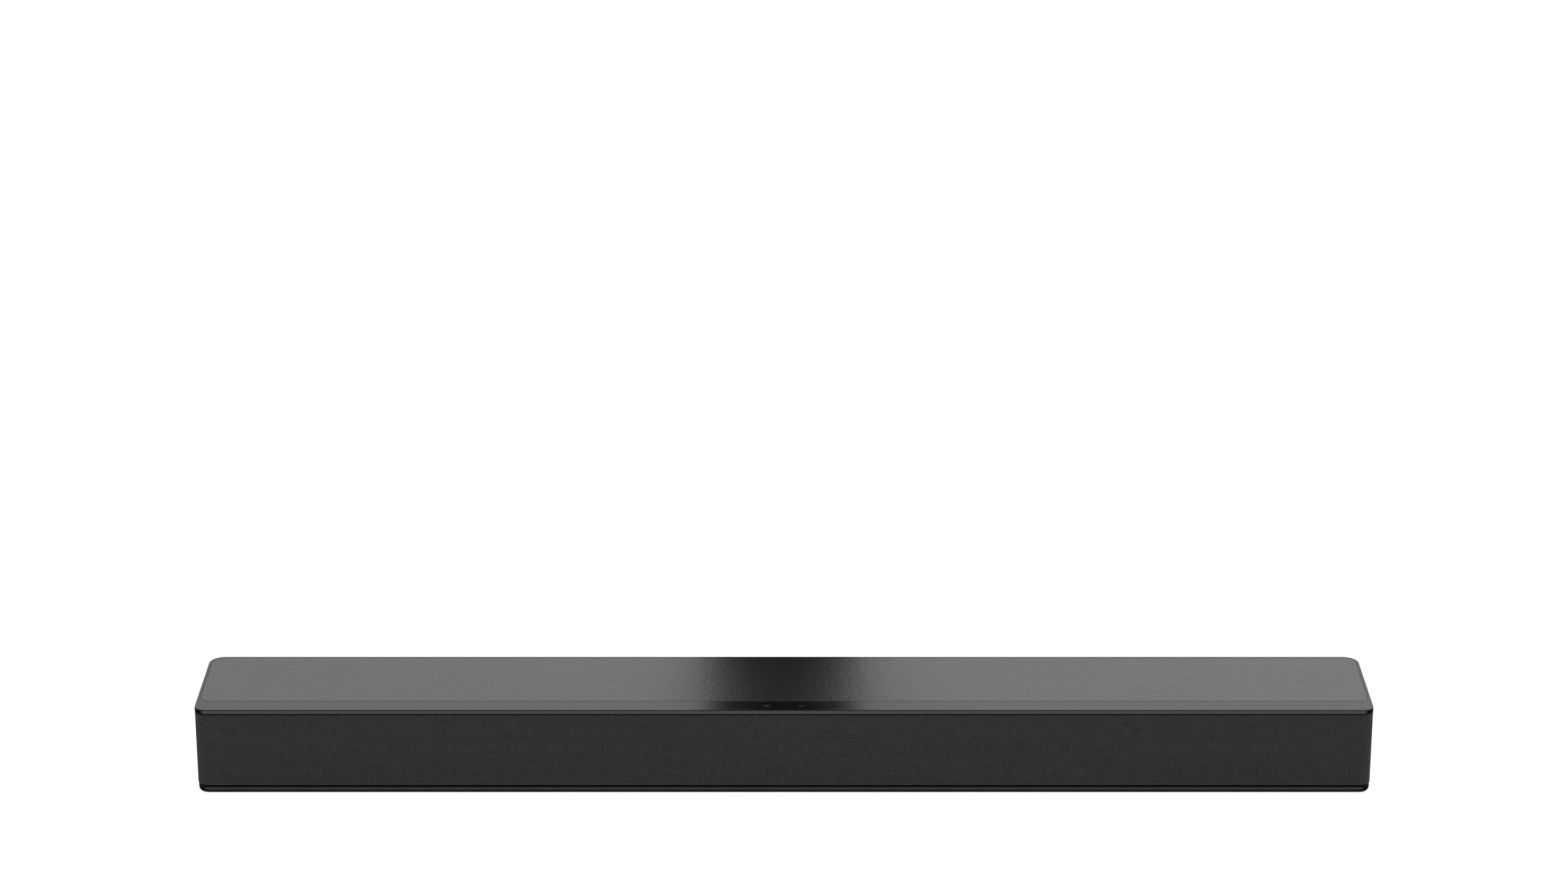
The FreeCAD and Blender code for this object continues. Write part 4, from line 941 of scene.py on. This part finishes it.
def inserts():
    """Two brass inserts with a cut thread inside."""
    bm = bmesh.new()
    for x in (-250.0, 250.0):
        inside = [(2.45, 8.0), (2.05, 7.65)]
        h = 7.5
        while h > 0.6:
            inside += [(2.0, h), (2.3, h - 0.35)]
            h -= 0.7
        outside = [(2.0, 0.0), (3.0, 0.0), (3.0, 2.0), (2.7, 2.0), (2.7, 2.8), (3.0, 2.8), (3.0, 5.0), (2.7, 5.0), (2.7, 5.8), (3.0, 5.8), (3.0, 7.8), (2.85, 8.0)]
        lathe(bm, inside + outside, (x, 38.4, 32.0), "y", 48, closed=True)
    return dress(to_object(bm, "brass_inserts"), "brass", ["wall_mount_inserts"], angle=30)


# =================================================================== back case
def half_outline(i, start, n=14):
    """The back part of the plan outline from the right end to the left end."""
    hw, y1, r = HW - i, BACK_Y - i, R_BACK - i
    pts = [(hw, start)]
    for k in range(n + 1):
        a = math.radians(90.0 * k / n)
        pts.append((hw - r + r * math.cos(a), y1 - r + r * math.sin(a)))
    for k in range(n + 1):
        a = math.radians(90 + 90.0 * k / n)
        pts.append((-hw + r + r * math.cos(a), y1 - r + r * math.sin(a)))
    pts.append((-hw, start))
    return pts


def rear():
    z0, z1, y0 = 5.5, 58.7, 26.2
    bm = bmesh.new()
    loops = []
    e = 0.35

    def ring(d, z, dy):
        out = half_outline(0.1 + d, y0 + dy)
        inn = half_outline(2.6, y0 + dy)
        return at_z(out + list(reversed(inn)), z)

    for d, z in arc2(e, z0 + e, e, 270, 180, 5):
        loops.append(ring(d, z, 0.0))
    for d, z in arc2(e, z1 - e, e, 180, 90, 5):
        loops.append(ring(d, z, 0.0))
    rows = [[bm.verts.new((x * MM, y * MM, z * MM)) for x, y, z in loop] for loop in loops]
    n = len(rows[0])
    for a, b in zip(rows, rows[1:]):
        for i in range(n):
            j = (i + 1) % n
            bm.faces.new((a[i], a[j], b[j], b[i]))
    h = n // 2
    for row in (rows[0], rows[-1]):
        for i in range(h - 1):
            bm.faces.new((row[i], row[i + 1], row[n - 2 - i], row[n - 1 - i]))
    o = to_object(bm, "rear_shell")
    add = bmesh.new()
    add_box(add, -77, 26.4, 8.4, 77, 45.0, 42.0)
    for sx in SCREW_X:
        add_box(add, sx - 3.5, 35.3, 6.0, sx + 3.5, 42.3, 16.0)
        add_box(add, sx - 4.0, 35.3, 49.5, sx + 4.0, 44.4, 52.0)
    for wx in (-250.0, 250.0):
        rows = [ring_points((wx, y, 32.0), 5.5, "y", 40) for y in (36.2, 44.4)]
        loft(add, rows)
    for x in (-340, -300, -200, -165, 165, 200, 300, 340):
        add_box(add, x - 0.9, 40.5, 12.0, x + 0.9, 44.3, 56.5)
    boolean(o, add, "UNION")
    add = bmesh.new()
    for sx in SCREW_X:
        add_box(add, sx - 3.5, 42.0, 8.5, sx + 3.5, 44.4, 16.0)
    boolean(o, add, "UNION")
    cut = bmesh.new()
    # the recess, with a flared mouth and softly rounded inner corners
    loops = []
    for g, y in ((0.0, 28.4), (0.0, 45.8), (0.12, 46.0), (0.6, 46.4), (1.0, 46.8)):
        loops.append([(p[0], y, p[1]) for p in rr2(0.0, 25.2, 75 + g, 14.8 + g, 1.2 + g)])
    loft(cut, loops)
    boolean(o, cut, "DIFFERENCE")
    cut = bmesh.new()
    for x, z, hx, hz, r in ((55.0, 20.6, 11.2, 7.2, 0.6), (15.0, 19.1, 5.7, 5.7, 0.5), (-8.0, 16.5, 7.9, 3.1, 0.4), (-32.0, 16.6, 7.0, 3.2, 0.4)):
        pts = rr2(x, z, hx, hz, r)
        if x == -8.0:
            pts = [(x + hx, z + hz), (x - hx, z + hz), (x - hx, z - hz + 1.75), (x - hx + 1.75, z - hz), (x + hx - 1.75, z - hz), (x + hx, z - hz + 1.75)]
        loft(cut, [[(p[0], y, p[1]) for p in pts] for y in (20.0, 28.2)] + [[(p[0] + (p[0] - x) * g, y, p[1] + (p[1] - z) * g) for p in pts] for g, y in ((0.0, 28.3), (0.03, 28.6))])
    loft(cut, [ring_points((-55.0, y, 17.8), r, "y", 48) for r, y in ((4.0, 20.0), (4.0, 28.2), (4.35, 28.6))])
    for wx in (-250.0, 250.0):
        loft(cut, [ring_points((wx, y, 32.0), r, "y", 48) for r, y in ((3.02, 38.4), (3.02, 46.2), (3.45, 46.6))])
    boolean(o, cut, "DIFFERENCE")
    cut = bmesh.new()
    for sx in SCREW_X:
        add_cyl(cut, sx, SCREW_YB, 5.0, 15.0, 1.52)
        add_cyl(cut, sx, SCREW_YB, 49.0, 53.0, 1.7)
    boolean(o, cut, "DIFFERENCE")
    return dress(o, "case", ["back_case"])


# ======================================================================= keys
def add_prism(bm, pts, z0, z1, edge=0.0, inner=None, mat=0):
    """An upright prism over a plan polygon, its upper edge eased."""
    start = len(bm.faces)
    loops = [at_z(pts, z0), at_z(pts, z1 - edge)]
    if edge:
        cx = sum(p[0] for p in pts) / len(pts)
        cy = sum(p[1] for p in pts) / len(pts)
        loops.append(at_z([(cx + (p[0] - cx) * (1 - edge / max(1e-6, math.dist(p, (cx, cy)))), cy + (p[1] - cy) * (1 - edge / max(1e-6, math.dist(p, (cx, cy))))) for p in pts], z1))
    loft(bm, loops)
    bm.faces.ensure_lookup_table()
    for i in range(start, len(bm.faces)):
        bm.faces[i].material_index = mat


def band(path, half):
    """A closed outline round an open plan path, this far to each side of it."""
    left, right = [], []
    for i, p in enumerate(path):
        a = path[max(i - 1, 0)]
        b = path[min(i + 1, len(path) - 1)]
        d = Vector((b[0] - a[0], b[1] - a[1])).normalized()
        left.append((p[0] - d.y * half, p[1] + d.x * half))
        right.append((p[0] + d.y * half, p[1] - d.x * half))
    return left + list(reversed(right))


def strokes(name, x):
    """The plan outlines of a key's sign."""
    y, h = KEY_Y, 0.225
    rect = lambda x0, y0, x1, y1: [(x0, y0), (x1, y0), (x1, y1), (x0, y1)]
    if name == "power":
        arc = []
        for k in range(37):
            a = math.radians(90 + 22 + (316.0 * k / 36))
            arc.append((x + 1.675 * math.cos(a), y + 1.675 * math.sin(a)))
        return [band(arc, 0.42), rect(x - 0.36, y + 0.15, x + 0.36, y + 2.15)]
    if name == "source":
        parts = [rect(x - 1.7, y + 0.95, x - 1.25, y + 1.7), rect(x - 1.7, y - 1.7, x - 1.25, y - 0.95), rect(x - 1.7, y + 1.25, x + 2.0, y + 1.7), rect(x - 1.7, y - 1.7, x + 2.0, y - 1.25), rect(x + 1.55, y - 1.7, x + 2.0, y + 1.7)]
        return parts + [rect(x - 2.5, y - h, x + 0.0, y + h), [(x - 0.35, y - 0.85), (x + 0.75, y), (x - 0.35, y + 0.85)]]
    if name == "volume_down":
        return [rect(x - 1.9, y - 0.36, x + 1.9, y + 0.36)]
    return [rect(x - 1.9, y - 0.42, x + 1.9, y + 0.42), rect(x - 0.36, y - 1.9, x + 0.36, y + 1.9)]


def keys():
    for name, x in KEY_X.items():
        bm = bmesh.new()
        pts = rr2(x, KEY_Y, 5.56, 3.46, 0.3, 4)
        loft(bm, [at_z(pts, 58.4), at_z(pts, 61.93), at_z(rr2(x, KEY_Y, 5.54, 3.44, 0.28, 4), 61.95)])
        add_box(bm, x - 6.3, KEY_Y - 2.4, 58.4, x + 6.3, KEY_Y + 2.4, 59.17)
        add_cyl(bm, x, KEY_Y, 56.3, 58.8, 1.6)
        # strokes that cross stand a hair apart in height
        for k, outline in enumerate(strokes(name, x)):
            add_prism(bm, outline, 61.7 + 0.01 * k, 62.0 - 0.006 * k, mat=1)
        o = to_object(bm, "key_cap_" + name)
        idx = [p.material_index for p in o.data.polygons]
        # Power and plus take the darker copy of the print and source and minus the lighter one: painted shade and
        # painted light to suit where each key sits in the reflection.
        sign = "sign_print_shaded_copy" if name in ("power", "volume_up") else "sign"
        dress(o, "lid", ["key_" + name], body="key_" + name, extra=(sign,))
        for p, i in zip(o.data.polygons, idx):
            p.material_index = i


# ==================================================================== sockets
def tube_y(bm, outer, inner, y0, y_floor, y1, mat=0):
    """A socket shell along Y: outer outline, a cavity from y_floor to the mouth at y1."""
    start = len(bm.faces)
    e = 0.12
    at = lambda pts, y: [(a, y, b) for a, b in pts]
    mid = [((a + c) / 2, (b + d) / 2) for (a, b), (c, d) in zip(outer, inner)]
    lip = [((a * 3 + c) / 4, (b * 3 + d) / 4) for (a, b), (c, d) in zip(outer, inner)]
    lip2 = [((a + c * 3) / 4, (b + d * 3) / 4) for (a, b), (c, d) in zip(outer, inner)]
    loops = [at(outer, y0), at(outer, y1 - e), at(lip, y1 - 0.03), at(mid, y1), at(lip2, y1 - 0.03), at(inner, y1 - e), at(inner, y_floor)]
    loft(bm, loops)
    bm.faces.ensure_lookup_table()
    for i in range(start, len(bm.faces)):
        bm.faces[i].material_index = mat


def tagged_box(bm, box, mat):
    start = len(bm.faces)
    add_box(bm, *box)
    bm.faces.ensure_lookup_table()
    for i in range(start, len(bm.faces)):
        bm.faces[i].material_index = mat


def finish_socket(bm, name, first, nodes, extra):
    o = to_object(bm, name)
    idx = [p.material_index for p in o.data.polygons]
    dress(o, first, nodes, extra=extra)
    for p, i in zip(o.data.polygons, idx):
        p.material_index = i
    return o


def sockets():
    # HDMI: a folded shell, a tongue with contacts on both faces
    x, z = -8.0, 16.5

    def shape(w, h, c):
        return [(x - w, z + h), (x - w, z - h + c), (x - w + c, z - h), (x + w - c, z - h), (x + w, z - h + c), (x + w, z + h)]

    bm = bmesh.new()
    tube_y(bm, shape(7.5, 2.85, 1.7), shape(7.0, 2.3, 1.5), 16.5, 18.5, 28.9)
    tagged_box(bm, (x - 5.3, 18.3, z - 0.05, x + 5.3, 27.2, z + 0.85), 1)
    for k in range(10):
        cx = x - 4.5 + k
        tagged_box(bm, (cx - 0.16, 19.0, z - 0.1, cx + 0.16, 26.8, z - 0.02), 2)
    for k in range(9):
        cx = x - 4.0 + k
        tagged_box(bm, (cx - 0.16, 19.0, z + 0.82, cx + 0.16, 26.8, z + 0.9), 2)
    for sx in (-3.6, 3.6):
        for zz in (z + 2.12, z - 2.3):
            tagged_box(bm, (x + sx - 0.8, 20.5, zz, x + sx + 0.8, 27.0, zz + 0.18), 0)
    finish_socket(bm, "hdmi_port", "nickel", ["hdmi_socket"], ("socket", "gold"))

    # USB: a folded shell, four contacts under the tongue, spring tabs top and bottom
    x, z = -32.0, 16.6
    rect = lambda w, h: [(x - w, z + h), (x - w, z - h), (x + w, z - h), (x + w, z + h)]
    bm = bmesh.new()
    tube_y(bm, rect(6.65, 2.95), rect(6.25, 2.55), 15.0, 17.0, 28.9)
    tagged_box(bm, (x - 5.6, 16.8, z + 0.3, x + 5.6, 27.4, z + 2.1), 1)
    for cx, w in ((-3.5, 0.5), (-1.0, 0.5), (1.0, 0.5), (3.5, 0.5)):
        tagged_box(bm, (x + cx - w, 18.5, z + 0.22, x + cx + w, 26.9, z + 0.34), 2)
    for sx in (-3.3, 3.3):
        tagged_box(bm, (x + sx - 0.9, 20.0, z - 2.55, x + sx + 0.9, 26.6, z - 2.3), 0)
        tagged_box(bm, (x + sx - 0.9, 20.0, z + 2.35, x + sx + 0.9, 26.6, z + 2.55), 0)
    finish_socket(bm, "usb_port", "nickel", ["usb_socket"], ("socket", "gold"))

    # 3.5 mm jack: a block behind the wall and a collar with an eased bore
    x, z = -55.0, 17.8
    bm = bmesh.new()
    lathe(bm, [(1.8, 15.2), (3.0, 15.2), (3.0, 26.0), (3.9, 26.0), (3.9, 28.9), (3.75, 29.1), (3.5, 29.2), (2.25, 29.2), (1.95, 29.05), (1.8, 28.75)], (x, 0.0, z), "y", 64, closed=True)
    o = to_object(bm, "aux_port")
    block = bmesh.new()
    add_box(block, x - 5.5, 13.0, 13.6, x + 5.5, 26.2, 22.0)
    boolean(o, block, "UNION")
    cut = bmesh.new()
    loft(cut, [ring_points((x, y, z), 1.8, "y", 64) for y in (15.2, 28.0)])
    boolean(o, cut, "DIFFERENCE")
    dress(o, "socket", ["aux_jack"])

    # mains inlet: a figure-8 well with an eased mouth
    x, z = 55.0, 20.6

    def eight(g):
        # two circles joined by a slightly narrower waist
        pts = []
        r = 4.2 + g
        a = math.asin(min(1.0, (3.6 + g) / r))
        for k in range(33):
            t = -(math.pi - a) + (2 * (math.pi - a)) * k / 32
            pts.append((x + 4.3 + r * math.cos(t), z + r * math.sin(t)))
        for k in range(33):
            t = a + (2 * (math.pi - a)) * k / 32
            pts.append((x - 4.3 + r * math.cos(t), z + r * math.sin(t)))
        return pts

    bm = bmesh.new()
    outer = lambda i, y: [(p[0], y, p[1]) for p in rr2(x, z, 11.0 - i, 7.0 - i, 0.5)]
    loft(bm, [outer(0.0, 12.0), outer(0.0, 28.6), outer(0.1, 28.82), outer(0.3, 28.9)])
    o = to_object(bm, "mains_port")
    cut = bmesh.new()
    loft(cut, [[(p[0], y, p[1]) for p in eight(g)] for g, y in ((0.0, 17.0), (0.0, 28.4), (0.12, 28.7), (0.35, 28.95), (0.35, 30.0))])
    boolean(o, cut, "DIFFERENCE")
    cut = bmesh.new()
    for sx in (-4.3, 4.3):
        loft(cut, [ring_points((x + sx, y, z), 1.2, "y", 40) for y in (11.0, 18.0)])
    boolean(o, cut, "DIFFERENCE")
    dress(o, "socket", ["ac_inlet"])
    bm = bmesh.new()
    for sx in (-4.3, 4.3):
        lathe(bm, [(0.0, 9.5), (1.2, 9.5)] + [(0.7 + 0.5 * math.cos(math.radians(q)), 26.0 + 0.5 * math.sin(math.radians(q))) for q in range(0, 91, 15)] + [(0.0, 26.5)], (x + sx, 0.0, z), "y", 40)
    dress(to_object(bm, "mains_pins"), "nickel", ["ac_inlet_pins"])


# ================================================================== soft rings
def soft_ring(side, kind, half):
    """A driver's surround or spider, copied from its part as a ring of its own; on the real driver its inner edge goes
    with the cone, its outer edge stays with the frame, and it bends between them.
    """
    node = NODES[side + "_" + kind]
    mesh = node.data.copy()
    o = bpy.data.objects.new(side + "_" + kind + "_ring", mesh)
    scene.collection.objects.link(o)
    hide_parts(side + "_" + kind)
    lo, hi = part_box(side + "_" + kind)
    cx, cz = (lo[0] + hi[0]) / 2, (lo[2] + hi[2]) / 2
    rest = [v.co.copy() for v in mesh.vertices]
    # blend() measures along a line, so the ring is laid out by its distance from its middle line while it measures
    for v, c in zip(mesh.vertices, rest):
        x = max(0.0, abs(c.x - cx) - half)
        v.co = (math.hypot(x, c.z - cz), 0.0, 0.0)
    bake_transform(o)
    for v, c in zip(mesh.vertices, rest):
        v.co = c
    mesh.update()


for side in ("left", "right"):
    soft_ring(side, "surround", 0.030)
    soft_ring(side, "spider", 0.0)

lid()
inlay()
cloth()
keys()
sockets()
base()
feet()
screws()
inserts()
rear()
